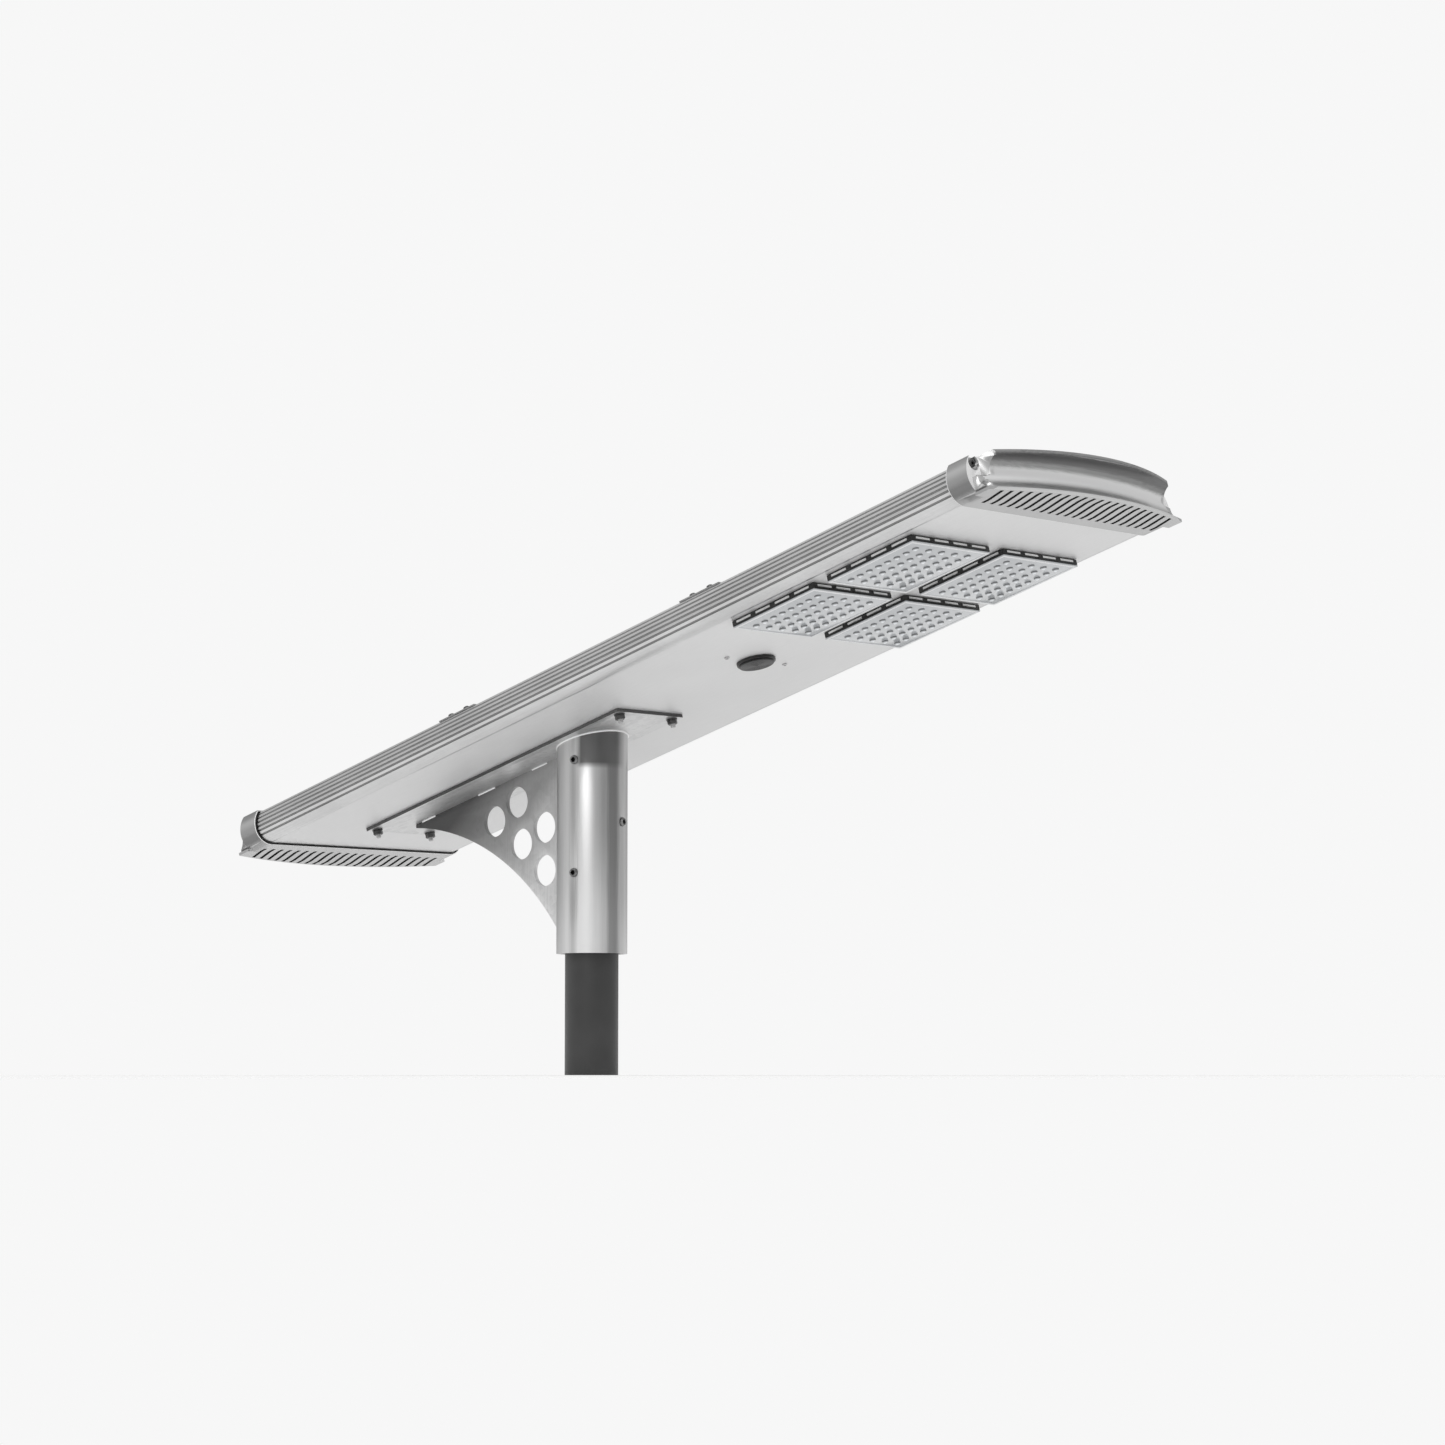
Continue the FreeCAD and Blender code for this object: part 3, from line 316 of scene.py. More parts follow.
# A dark area at the sleeve's top, under the plate: a painted shadow.
painted_shadow_patch = [ranged(tree, add(tree, "ShaderNodeSeparateXYZ", {"Vector": place}).outputs["Z"], 0, 1, 0.343, 0.350),
         ranged(tree, across, 0, 1, -0.019, -0.013), ranged(tree, across, 1, 0, 0.026, 0.036)]
for share in painted_shadow_patch[1:]:
    painted_shadow_patch[0] = add(tree, "ShaderNodeMath", {0: painted_shadow_patch[0], 1: share}, operation="MULTIPLY").outputs[0]
bare = shader.inputs["Base Color"].links[0].from_socket
tree.links.new(blend(tree, painted_shadow_patch[0], bare, grey(0.46)), shader.inputs["Base Color"])
grain = noise(tree, place, scale=900, detail=2)
relief(tree, shader, grain, 0.01)
plate_zinc, _, _ = galvanised("galvanised_plate", grey(0.8), grey(0.87), 0.45, streak=(0.04, 0.001, 0.001),
                              in_head=True)
web_zinc, web_tree, web_shader = galvanised("galvanised_web", grey(0.86), grey(0.93), 0.42)
# The web darkens towards its top corner under the plate: painted shade.
corner = add(web_tree, "ShaderNodeVectorMath", {0: coordinates(web_tree), 1: (-0.45, 0, 1)},
             operation="DOT_PRODUCT").outputs["Value"]
painted_shade_to_corner = ranged(web_tree, corner, 0.0, 1.0, -0.09, 0.09)
plain = web_shader.inputs["Base Color"].links[0].from_socket
web_tree.links.new(blend(web_tree, painted_shade_to_corner, plain, grey(0.36)), web_shader.inputs["Base Color"])
# Dark metal for the mount plate's edge faces: painted shade.
plate_edge_painted_shade = grained_metal("painted_shade_plate_edge", grey(0.34), grey(0.46), 0.6, (0.001, 0.001, 0.004), in_head=True)
weld_metal = grained_metal("bright_weld_metal", grey(0.93), grey(0.99), 0.36, (0.002, 0.002, 0.002),
                           depth=0.06,
                           metallic=0.7)
print("galvanised steel ready")

# %% [markdown]
# The pole is powder coated in a dark grey. Powder melts into a skin with a faint orange peel, so a
# medium noise bends the surface by hundredths of a millimetre, and the gloss varies slightly.

# %% Coated, plated and moulded finishes
def skin(name, dark, light, roughness, grain=0.0015, depth=0.02, metallic=0.0, **sockets):
    """A coated or moulded surface: small even grain, and gloss that varies a little."""
    material, tree, shader = start_finish(name, metallic, roughness, **sockets)
    peel = noise(tree, coordinates(tree, (grain,) * 3), detail=2)
    slow = noise(tree, coordinates(tree, (grain * 40,) * 3), detail=2)
    tree.links.new(blend(tree, slow, dark, light, 0.3, 0.7), shader.inputs["Base Color"])
    tree.links.new(ranged(tree, peel, roughness - 0.05, roughness + 0.08), shader.inputs["Roughness"])
    relief(tree, shader, peel, depth)
    return material


pole_paint = skin("dark_grey_powder_coat", grey(0.2), grey(0.24), 0.36, 0.0016, 0.015)
dark_zinc = skin("dark_zinc_fastener", grey(0.3), grey(0.42), 0.34, 0.0008, 0.01, metallic=1.0)
bright_zinc = skin("bright_zinc_fastener", grey(0.66), grey(0.78), 0.26, 0.0008, 0.008, metallic=1.0)
set_screw_steel = skin("plain_set_screw", grey(0.5), grey(0.6), 0.3, 0.0008, 0.01, metallic=1.0)
# Near-black for the grub screws' sockets: painted shade.
socket_painted_shade = skin("screw_socket_painted_shade", grey(0.12), grey(0.16), 0.6, 0.0008, 0.01, metallic=0.4)
seal_rubber = skin("black_seal_rubber", grey(0.1), grey(0.15), 0.75, 0.0006, 0.03)
lamp_black = skin("black_lamp_frame", grey(0.1), grey(0.14), 0.5, 0.0007, 0.02)
sensor_black = skin("black_sensor_case", grey(0.09), grey(0.13), 0.35, 0.0006, 0.015)
black_plastic = skin("black_moulded_plastic", grey(0.12), grey(0.17), 0.5, 0.0008, 0.02)
lead_jacket = skin("black_lead_jacket", grey(0.1), grey(0.14), 0.6, 0.001, 0.01)
controller_case = skin("grey_controller_case", grey(0.45), grey(0.52), 0.45, 0.001, 0.02, metallic=0.4)
cell_wrap = skin("green_cell_wrap", (0.03, 0.2, 0.11, 1), (0.04, 0.26, 0.14, 1), 0.3, 0.002, 0.005)
clamp_steel = skin("grey_clamp_steel", grey(0.6), grey(0.68), 0.42, 0.001, 0.01, metallic=0.8)
print("coated and moulded finishes ready")

# %% [markdown]
# The lamp covers are clear plastic over a white board. Full glass would need many light bounces
# for little gain, so the plastic is a pale, glossy solid. Its tone follows the height over the sheet:
# dark round each dome's foot, a painted shade, and bright on its crown, a painted highlight.

# %% Clear plastic, chips and board
lens_plastic, tree, shader = start_finish("clear_lens_plastic", 0.0, 0.14, IOR=1.5, Coat_Weight=0.4,
                                          Coat_Roughness=0.06)
axes = add(tree, "ShaderNodeSeparateXYZ", {"Vector": coordinates(tree)})
# Dark round each dome's foot, bright on its crown: painted shade and painted highlight.
foot = add(tree, "ShaderNodeMapRange", {"Value": axes.outputs["Z"], "From Min": -LENS_LEVEL * MM,
                                        "From Max": (-LENS_LEVEL - 2.6) * MM})
ramp = add(tree, "ShaderNodeValToRGB", {"Fac": foot.outputs["Result"]})
for k, (spot, level) in enumerate([(0.0, 0.75), (0.04, 0.42), (0.4, 0.45), (0.7, 0.86), (1.0, 1.0)]):
    stop = ramp.color_ramp.elements[k] if k < 2 else ramp.color_ramp.elements.new(spot)
    stop.position, stop.color = spot, grey(level, -0.03)
ripple = noise(tree, coordinates(tree, (0.004,) * 3), detail=2)
tree.links.new(ramp.outputs["Color"], shader.inputs["Base Color"])
tree.links.new(ranged(tree, ripple, 0.1, 0.2), shader.inputs["Roughness"])
relief(tree, shader, ripple, 0.01)
rim_plastic = skin("pale_cover_rim", grey(0.86, -0.01), grey(0.9, -0.01), 0.3, 0.004, 0.004)
board_white = skin("white_circuit_board", grey(0.88), grey(0.93), 0.45, 0.001, 0.004)
chip_yellow = skin("yellow_lamp_chip", (0.75, 0.5, 0.06, 1), (0.85, 0.6, 0.1, 1), 0.3, 0.0005, 0.004)


# %% [markdown]
# The panel on the back is glass over dark cells. A cell has fine silver fingers across it and a
# few wider bars along it, printed flat, so they belong in the material: the remainder of the
# coordinate divided by the pitch says where in each line's repeat a point is.

# %% Solar panel finishes
def stripes(tree, coordinate, pitch, width, offset=0.0):
    """One inside a printed line and nought between the lines."""
    moved = add(tree, "ShaderNodeMath", {0: coordinate, 1: offset}, operation="ADD").outputs[0]
    turn = add(tree, "ShaderNodeMath", {0: moved, 1: pitch}, operation="FLOORED_MODULO").outputs[0]
    return add(tree, "ShaderNodeMath", {0: turn, 1: width}, operation="LESS_THAN").outputs[0]


solar_cells, tree, shader = start_finish("solar_cells", 0.0, 0.22, Coat_Weight=0.5, Coat_Roughness=0.05)
axes = add(tree, "ShaderNodeSeparateXYZ", {"Vector": coordinates(tree)})
fingers = stripes(tree, axes.outputs["X"], 0.0021, 0.00022)
bars = stripes(tree, axes.outputs["Y"], 0.0258, 0.0014, 0.0136)
printed = add(tree, "ShaderNodeMath", {0: fingers, 1: bars}, operation="MAXIMUM").outputs[0]
crystal = noise(tree, coordinates(tree, (0.02, 0.02, 0.02)), detail=2)
silicon = blend(tree, crystal, (0.004, 0.008, 0.028, 1), (0.008, 0.016, 0.05, 1), 0.3, 0.7)
tree.links.new(blend(tree, printed, silicon, grey(0.75)), shader.inputs["Base Color"])

panel_glass, tree, shader = start_finish("toughened_panel_glass", 0.0, 0.03, Transmission_Weight=1.0, IOR=1.5)
tree.links.new(ranged(tree, noise(tree, coordinates(tree, (0.05,) * 3)), 0.02, 0.035),
               shader.inputs["Roughness"])
relief(tree, shader, noise(tree, coordinates(tree, (0.12,) * 3), detail=1), 0.01)
panel_backing = skin("white_panel_backing", grey(0.88), grey(0.92), 0.5, 0.0015, 0.006)
print("panel finishes ready")

# %% [markdown]
# ## Shaping tools
# A piece that is finished goes through one door: its mesh is put in place, shaded smooth except at
# real corners, given its finish, tied to the body it moves with, and the imported part it stands for
# is hidden.

# %% Put a finished piece on the lamp
def shade(mesh, corner=32):
    """Smooth shading, broken at edges sharper than the corner angle."""
    mesh.polygons.foreach_set("use_smooth", [True] * len(mesh.polygons))
    mesh.set_sharp_from_angle(angle=math.radians(corner))


def fit(name, mesh, finish, body="lamp", stands_for=(), place=HEAD, corner=32):
    """Make a finished piece of a mesh (or a bmesh) drawn in millimetres."""
    if isinstance(mesh, bmesh.types.BMesh):
        drawn, mesh = mesh, bpy.data.meshes.new(name)
        drawn.to_mesh(mesh)
        drawn.free()
    mesh.transform(place)
    if finish:
        mesh.materials.clear()
        mesh.materials.append(finish)
    shade(mesh, corner)
    piece = bpy.data.objects.new(name, mesh)
    scene.collection.objects.link(piece)
    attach(piece, body)
    if stands_for:
        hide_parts(*([stands_for] if isinstance(stands_for, str) else stands_for))
    return piece


# %% [markdown]
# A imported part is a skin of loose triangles, shaded flat. For a curved or crisp part a merged copy
# is better: joined vertices let light flow round a curve, flat fields are dissolved into single
# faces, and a narrow bevel breaks each corner, because no real edge is perfectly sharp and a
# broken edge catches the light.

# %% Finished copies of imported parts
def finished_copy(name, finish, bevel=0.0, corner=32, segments=2, others=()):
    """A merged, smoothed copy of a part with broken corners. Others are (finish, pick): a face
    that pick accepts by its normal and its place, both in the head's axes, gets that finish."""
    drawn = merged(name)
    bmesh.ops.dissolve_limit(drawn, angle_limit=math.radians(0.4), verts=drawn.verts, edges=drawn.edges)
    mesh = bpy.data.meshes.new(name + "_copy")
    drawn.to_mesh(mesh)
    drawn.free()
    if bevel:
        carrier = bpy.data.objects.new("carrier", mesh)
        scene.collection.objects.link(carrier)
        broken = carrier.modifiers.new("broken_edges", "BEVEL")
        broken.width, broken.segments = bevel * MM, segments
        broken.limit_method, broken.angle_limit = "ANGLE", math.radians(corner)
        mesh = bpy.data.meshes.new_from_object(carrier.evaluated_get(bpy.context.evaluated_depsgraph_get()))
        bpy.data.objects.remove(carrier)
    piece = fit(name + "_finished", mesh, finish, nodes[name]["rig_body"], name,
                Matrix.Identity(4), corner)
    turn = TO_HEAD.to_3x3().normalized()
    for number, (other, pick) in enumerate(others, start=1):
        mesh.materials.append(other)
        for face in mesh.polygons:
            if pick(turn @ face.normal, TO_HEAD @ face.center):
                face.material_index = number
    return piece


# %% [markdown]
# Screws, nuts and washers are turned shapes: a list of rings, each with a radius and a height, and
# a word when the ring is a hexagon instead of a circle. One function joins the rings. With 24
# points a ring, the hexagon's corners fall exactly on points, so its flats stay flat.

# %% Turned and hexagonal shapes
def ring_radius(size, angle, shape):
    if shape == "round":
        return size
    return size / math.cos((angle + math.pi / 6) % (math.pi / 3) - math.pi / 6)


def turned(rings, sides=24, closed=False):
    """A solid through rings of (radius or half across flats, height[, "hex"]); closed joins last to first."""
    mesh, loops = bmesh.new(), []
    for size, height, *shape in rings:
        shape = shape[0] if shape else "round"
        if size == 0:
            loops.append([mesh.verts.new((0, 0, height))])
            continue
        angles = [2 * math.pi * k / sides for k in range(sides)]
        loops.append([mesh.verts.new((ring_radius(size, a, shape) * math.cos(a),
                                      ring_radius(size, a, shape) * math.sin(a), height)) for a in angles])
    pairs = list(zip(loops, loops[1:])) + ([(loops[-1], loops[0])] if closed else [])
    for one, two in pairs:
        for k in range(sides):
            corners = [one[k % len(one)], one[(k + 1) % len(one)], two[(k + 1) % len(two)], two[k % len(two)]]
            mesh.faces.new(list(dict.fromkeys(corners)))
    bmesh.ops.recalc_face_normals(mesh, faces=mesh.faces)
    return mesh


def thread(radius, start, end, pitch=1.0, depth=0.35):
    """The rings of a screw thread's crests and roots, from one height to another."""
    count = max(1, int(abs(end - start) / pitch))
    step = (end - start) / count
    rings = []
    for k in range(count):
        rings += [(radius - depth, start + step * k), (radius, start + step * (k + 0.5))]
    return rings + [(radius - depth, end)]


nut = turned([(3, 0.5), (3.4, 0), (4.7, 0), (5, 0.6, "hex"), (5, 4.4, "hex"), (4.7, 5), (3.4, 5), (3, 4.5)],
             closed=True)
print("a nut has", len(nut.faces), "faces")

# %% [markdown]
# Geometry Nodes set the fasteners out. The tree takes points and one shape, and puts the shape on
# every point, turned as the point's "facing" attribute says. The export drops instances, so the
# tree makes them real and gives them their finish before the result becomes a plain mesh.

# %% The set-out tree
def start_tree(name, sizes):
    """A geometry tree with named inputs."""
    tree = bpy.data.node_groups.new(name, "GeometryNodeTree")
    tree.interface.new_socket("Geometry", in_out="INPUT", socket_type="NodeSocketGeometry")
    tree.interface.new_socket("Geometry", in_out="OUTPUT", socket_type="NodeSocketGeometry")
    for label, kind, value in sizes:
        socket = tree.interface.new_socket(label, in_out="INPUT", socket_type="NodeSocket" + kind)
        if value is not None:
            socket.default_value = value
    return tree, tree.nodes.new("NodeGroupInput").outputs


def end_tree(tree, geometry, finish_socket):
    """Make instances real, give them their finish and hand them out."""
    real = add(tree, "GeometryNodeRealizeInstances", {"Geometry": geometry})
    done = add(tree, "GeometryNodeSetMaterial", {"Geometry": real.outputs[0], "Material": finish_socket})
    tree.links.new(done.outputs[0], tree.nodes.new("NodeGroupOutput").inputs[0])


def grown(tree, start, inputs):
    """Run a tree on a starting mesh and give back the plain mesh it makes."""
    carrier = bpy.data.objects.new("carrier", start)
    scene.collection.objects.link(carrier)
    modifier = carrier.modifiers.new("tree", "NODES")
    modifier.node_group = tree
    sockets = {item.name: item.identifier for item in tree.interface.items_tree
               if item.item_type == "SOCKET" and item.in_out == "INPUT"}
    for label, value in inputs.items():
        modifier[sockets[label]] = value
    mesh = bpy.data.meshes.new_from_object(carrier.evaluated_get(bpy.context.evaluated_depsgraph_get()))
    bpy.data.objects.remove(carrier)
    return mesh


set_out_tree, given = start_tree("set_out", [("Shape", "Object", None), ("Finish", "Material", None)])
shape = add(set_out_tree, "GeometryNodeObjectInfo", {"Object": given["Shape"], "As Instance": True})
facing = add(set_out_tree, "GeometryNodeInputNamedAttribute", {"Name": "facing"}, data_type="FLOAT_VECTOR")
turn = add(set_out_tree, "FunctionNodeEulerToRotation", {"Euler": facing.outputs["Attribute"]})
placed = add(set_out_tree, "GeometryNodeInstanceOnPoints", {
    "Points": given["Geometry"], "Instance": shape.outputs["Geometry"], "Rotation": turn.outputs[0]})
end_tree(set_out_tree, placed.outputs[0], given["Finish"])


def set_out(shape, spots, finish):
    """A mesh with the shape at every spot, a spot being a place and a turn about three axes."""
    points = bpy.data.meshes.new("spots")
    points.from_pydata([place for place, _ in spots], [], [])
    facing = points.attributes.new("facing", "FLOAT_VECTOR", "POINT")
    for item, (_, angles) in zip(facing.data, spots):
        item.vector = angles
    pattern = bpy.data.meshes.new("pattern")
    shape.to_mesh(pattern)
    shape.free()
    holder = bpy.data.objects.new("pattern", pattern)
    scene.collection.objects.link(holder)
    mesh = grown(set_out_tree, points, {"Shape": holder, "Finish": finish})
    bpy.data.objects.remove(holder)
    return mesh


# %% [markdown]
# ## The bracket
# Four bolts hold the head to the bracket's plate: their hex heads are inside the head and their
# nuts below. A spanner never leaves two nuts at the same angle, so each gets a turn of its own
# from a random generator with a fixed seed.

# %% Bolts, nuts and washers
UP, DOWN = (0, 0, 0), (math.pi, 0, 0)
turns = random.Random(7)
bolt_low, bolt_high = head_span("mount_bolts")
washer_low, _ = head_span("mount_washers")
middles = [((a + b) / 2) for a, b in nuts_at]
bolt_long = bolt_high.z - bolt_low.z
bolt = turned([(0, 0), (2.1, 0), (2.6, 0.5)] + thread(3, 0.9, 12.2) +
              [(2.95, 12.6), (2.95, bolt_long - 5), (4.7, bolt_long - 5), (5, bolt_long - 4.5, "hex"),
               (5, bolt_long - 0.7, "hex"), (4.6, bolt_long), (0, bolt_long)])
washer = turned([(3.3, 0.15), (3.4, 0), (6, 0), (6.2, 0.2), (6.2, 1.0), (6, 1.2), (3.4, 1.2), (3.3, 1.05)],
                closed=True)
spots = [(Vector((m.x, m.y, bolt_low.z)), (0, 0, turns.uniform(0, 1))) for m in middles]
fit("bolts_finished", set_out(bolt, spots, bright_zinc), None, stands_for="mount_bolts")
spots = [(Vector((m.x, m.y, nuts_at[0][0].z)), (0, 0, turns.uniform(0, 1))) for m in middles]
fit("nuts_finished", set_out(nut, spots, dark_zinc), None, stands_for="mount_nuts")
spots = [(Vector((m.x, m.y, washer_low.z)), UP) for m in middles]
fit("washers_finished", set_out(washer, spots, dark_zinc), None, stands_for="mount_washers")
print("bolts", round(bolt_long, 1), "mm long")

# %% [markdown]
# The sleeve, the web and the two plates keep their imported shapes, with broken corners. The mount
# plate's faces that look along the sheet, its edges, take a darker metal: painted shade.

# %% Sleeve, web, plates and pole
finished_copy("pole_top_section", pole_paint, 0.5)
finished_copy("sleeve_tube", sleeve_zinc, 0.6)
finished_copy("mount_plate", plate_zinc, 0.5,
              others=[(plate_edge_painted_shade, lambda normal, place: abs(normal.z) < 0.5)])
finished_copy("stiffener_plate", plate_zinc, 0.4)
finished_copy("gusset_web", web_zinc, 0.4)

# %% [markdown]
# A weld bead is a rope of overlapping ripples. It follows a path, so a tree makes it: the path
# becomes a curve, its radius swells and shrinks with a sine of the length along it, a noise makes
# the swelling uneven, and a round profile is drawn along it.

# %% The weld tree
weld_tree, given = start_tree("weld_bead", [
    ("Radius", "Float", 1.5), ("Ripple pitch", "Float", 2.2), ("Ripple depth", "Float", 0.12),
    ("Seed", "Float", 3.0), ("Finish", "Material", None)])
path = add(weld_tree, "GeometryNodeMeshToCurve", {"Mesh": given["Geometry"]})
path = add(weld_tree, "GeometryNodeResampleCurve", {"Curve": path.outputs[0], "Length": 0.55}, mode="LENGTH")
along = add(weld_tree, "GeometryNodeSplineParameter").outputs["Length"]
phase = add(weld_tree, "ShaderNodeMath", {0: along, 1: given["Ripple pitch"]}, operation="DIVIDE")
phase = add(weld_tree, "ShaderNodeMath", {0: phase.outputs[0], 1: math.tau}, operation="MULTIPLY")
wave = add(weld_tree, "ShaderNodeMath", {0: phase.outputs[0]}, operation="SINE")
ripple = add(weld_tree, "ShaderNodeMath", {0: wave.outputs[0], 1: given["Ripple depth"]},
             operation="MULTIPLY")
uneven = add(weld_tree, "ShaderNodeTexNoise", {"W": given["Seed"], "Scale": 0.12, "Detail": 2.0},
             noise_dimensions="4D")
swell = add(weld_tree, "ShaderNodeMath", {0: ripple.outputs[0], 1: uneven.outputs["Fac"]}, operation="ADD")
swell = add(weld_tree, "ShaderNodeMath", {0: swell.outputs[0], 1: 0.5}, operation="ADD")
radius = add(weld_tree, "ShaderNodeMath", {0: swell.outputs[0], 1: given["Radius"]}, operation="MULTIPLY")
path = add(weld_tree, "GeometryNodeSetCurveRadius", {"Curve": path.outputs[0], "Radius": radius.outputs[0]})
profile = add(weld_tree, "GeometryNodeCurvePrimitiveCircle", {"Resolution": 10, "Radius": 1.0})
bead = add(weld_tree, "GeometryNodeCurveToMesh", {"Curve": path.outputs[0],
                                                  "Profile Curve": profile.outputs[0], "Fill Caps": True})
end_tree(weld_tree, bead.outputs[0], given["Finish"])


def weld(path, radius, pitch=2.2, depth=0.12, seed=3.0, closed=False):
    """A bead along a path of points."""
    line = bpy.data.meshes.new("path")
    ends = [(k, k + 1) for k in range(len(path) - 1)] + ([(len(path) - 1, 0)] if closed else [])
    line.from_pydata(path, ends, [])
    return grown(weld_tree, line, {"Radius": radius, "Ripple pitch": pitch, "Ripple depth": depth,
                                   "Seed": seed, "Finish": weld_metal})


# %% [markdown]
# The sleeve is welded all round where it meets the plate. That joint is an ellipse, because the
# plate is tilted: for each angle round the sleeve, the height is where the plate's underside is.
# The web is welded to the plate by three short stitches on each side, and to the sleeve by a thin
# seam.

# %% Weld beads
plate_low, _ = head_span("mount_plate")
_, sleeve_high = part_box("sleeve_tube")
web_low, web_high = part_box("gusset_web")
sleeve_radius = sleeve_high.y / MM
web_half = web_high.y / MM


def under_plate(x, drop=0.0):
    """Height of the plate's underside above the pole's foot, upright, in millimetres."""
    return HEAD_UP + (x * math.sin(TILT) + plate_low.z - drop) / math.cos(TILT)


ring = []
for k in range(144):
    angle = math.tau * k / 144
    x, y = (sleeve_radius + 0.4) * math.cos(angle), (sleeve_radius + 0.4) * math.sin(angle)
    ring.append((x, y, under_plate(x, 0.5)))
fit("sleeve_weld", weld(ring, 2.4, 2.6, 0.16, 5.0, closed=True), None, place=UPRIGHT,
    corner=60)
STITCHES = ((-299, -275), (-197, -167), (-102, -76))
for side, name in ((-1, "near"), (1, "far")):
    for k, (start, end) in enumerate(STITCHES):
        path = [(u, side * web_half, plate_low.z - 0.4) for u in (start, (start + end) / 2, end)]
        fit(f"web_stitch_{name}_{k + 1}", weld(path, 2.3, 2.8, 0.22, 9.0 + k), None,
            corner=60)
    heights = (web_low.z / MM + 2, 250, under_plate(-sleeve_radius, 3))
    seam = [(-(sleeve_radius + 0.1), side * web_half, z) for z in heights]
    fit(f"web_seam_{name}", weld(seam, 1.1, 2.0, 0.1, 1.0 + side), None,
        place=UPRIGHT, corner=60)
print("weld ring of", len(ring), "points and", 2 * len(STITCHES), "stitches")

# %% [markdown]
# Five grub screws bite on the pole. Each is a turned shape with a threaded side, a chamfer at both
# ends and a hexagon socket in its outer end. Each one moves alone, so each is a piece of its own,
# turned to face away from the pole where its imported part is.

# %% Grub screws
for name in [n for n in nodes if n.startswith("set_screw_")]:
    low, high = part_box(name)
    middle = (low + high) / 2
    angle = math.atan2(middle.y, middle.x)
    outward = Vector((math.cos(angle), math.sin(angle), 0))
    reach = [v.co.dot(outward) / MM for v in nodes[name].data.vertices]
    half = (max(reach) - min(reach)) / 2
    screw = turned([(0, -half), (3.4, -half), (4.3, -half + 0.9)] +
                   thread(5, -half + 1.2, half - 1.2, 1.25, 0.5) +
                   [(4.4, half - 0.7), (3.9, half), (3.1, half), (2.5, half - 0.5, "hex"),
                    (2.5, half - 5, "hex"),
                    (0, half - 5.6)])
    centre = outward * (max(reach) + min(reach)) / 2
    place = (Matrix.Translation((centre.x * MM, centre.y * MM, middle.z)) @ Matrix.Rotation(angle, 4, "Z")
             @ Matrix.Rotation(math.pi / 2, 4, "Y") @ UPRIGHT)
    piece = fit(name + "_finished", screw, set_screw_steel, nodes[name]["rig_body"], name,
                place)
    # The socket's faces take the near-black metal: painted shade in the recess.
    piece.data.materials.append(socket_painted_shade)
    for face in piece.data.polygons:
        aside = (face.center - centre * MM - Vector((0, 0, middle.z))).cross(outward).length / MM
        depth = face.center.dot(outward) / MM
        if aside < 2.9 and depth < max(reach) - 0.3:
            face.material_index = 1
    print(name, "stands", round(max(reach) - sleeve_radius, 2), "mm proud of the sleeve")

# %% [markdown]
# ## The head
# The rails are drawn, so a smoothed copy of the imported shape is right: their grooves stay crisp and
# their round sides run smooth. The floor is a flat sheet between them.

# %% Rails, floor and caps
_, rail_high = head_span("side_rail_far")
FLAT_HALF, SIDE_ROUND, TOP_HALF = 140, 18, 151
lean = FLAT_HALF + SIDE_ROUND - TOP_HALF
top_round = (lean ** 2 + (rail_high.z - SIDE_ROUND) ** 2) / (2 * lean)


def depth_inside(v, w):
    """How far a point lies inside the head's outline: below the widest line, and above it."""
    if w < SIDE_ROUND:
        return w if abs(v) < FLAT_HALF else SIDE_ROUND - math.hypot(abs(v) - FLAT_HALF, w - SIDE_ROUND)
    return top_round - math.hypot(abs(v) - (FLAT_HALF + SIDE_ROUND - top_round), w - SIDE_ROUND)


def is_groove(normal, place):
    """The sides of a rail's grooves: just inside the outline, and looking out."""
    looks_out = normal.y * place.y > 0 or normal.z < 0
    return looks_out and 0.35 < depth_inside(place.y, place.z) < 1.5 and abs(normal.x) < 0.5


# The sides of the rail grooves get the darker metal: painted shade.
for name in ("side_rail_near", "side_rail_far"):
    rail = finished_copy(name, drawn_aluminium, 0.0, others=[(groove_painted_shade, is_groove)])
    print(name, sum(p.material_index for p in rail.data.polygons), "groove faces")
finished_copy("floor_plate", sheet_aluminium, 0.0)
MOUTHS = {"end_cap_front": 701, "end_cap_rear": -415}
PAD_OUT = 27


def cap_finishes(mouth):
    """The finishes of the cap whose mouth is at this u, each with the faces it is for."""
    way = 1 if mouth > 0 else -1

    def is_land(normal, place):
        return abs(normal.x) > 0.98 and abs(place.y) > 128 and abs((place.x - mouth) * way - PAD_OUT) < 1

    def is_cove(normal, place):
        return normal.x * way > 0.1 and abs(place.y) < 145 and (place.x - mouth) * way > PAD_OUT + 1

    def is_barrel(normal, place):
        return abs(normal.y) > 0.2 and abs(place.y) > 138 and (place.x - mouth) * way < PAD_OUT

    def is_slot(normal, place):
        inside = -2.8 < place.z < -0.3 and abs(place.y) < 146 and (place.x - mouth) * way > 8
        return inside and (abs(normal.z) < 0.3 or place.z > -1.2) and normal.x * way < 0.6

    return [(barrel_painted_reflection, is_barrel), (land_face_and_painted_highlight, is_land), (cove_painted_light, is_cove), (slot_painted_shade, is_slot)]


# The cove and barrel carry painted reflections and shade, and the slots carry painted shade.
for name, mouth in MOUTHS.items():
    cap = finished_copy(name, cast_aluminium, 0.0, corner=28, others=cap_finishes(mouth))
    counts = [sum(p.material_index == k for p in cap.data.polygons) for k in range(5)]
    print(name, "faces: plain, barrel, lands, cove, slots =", counts)
for name in ("end_gasket_front", "end_gasket_rear"):
    finished_copy(name, seal_rubber, 0.0)

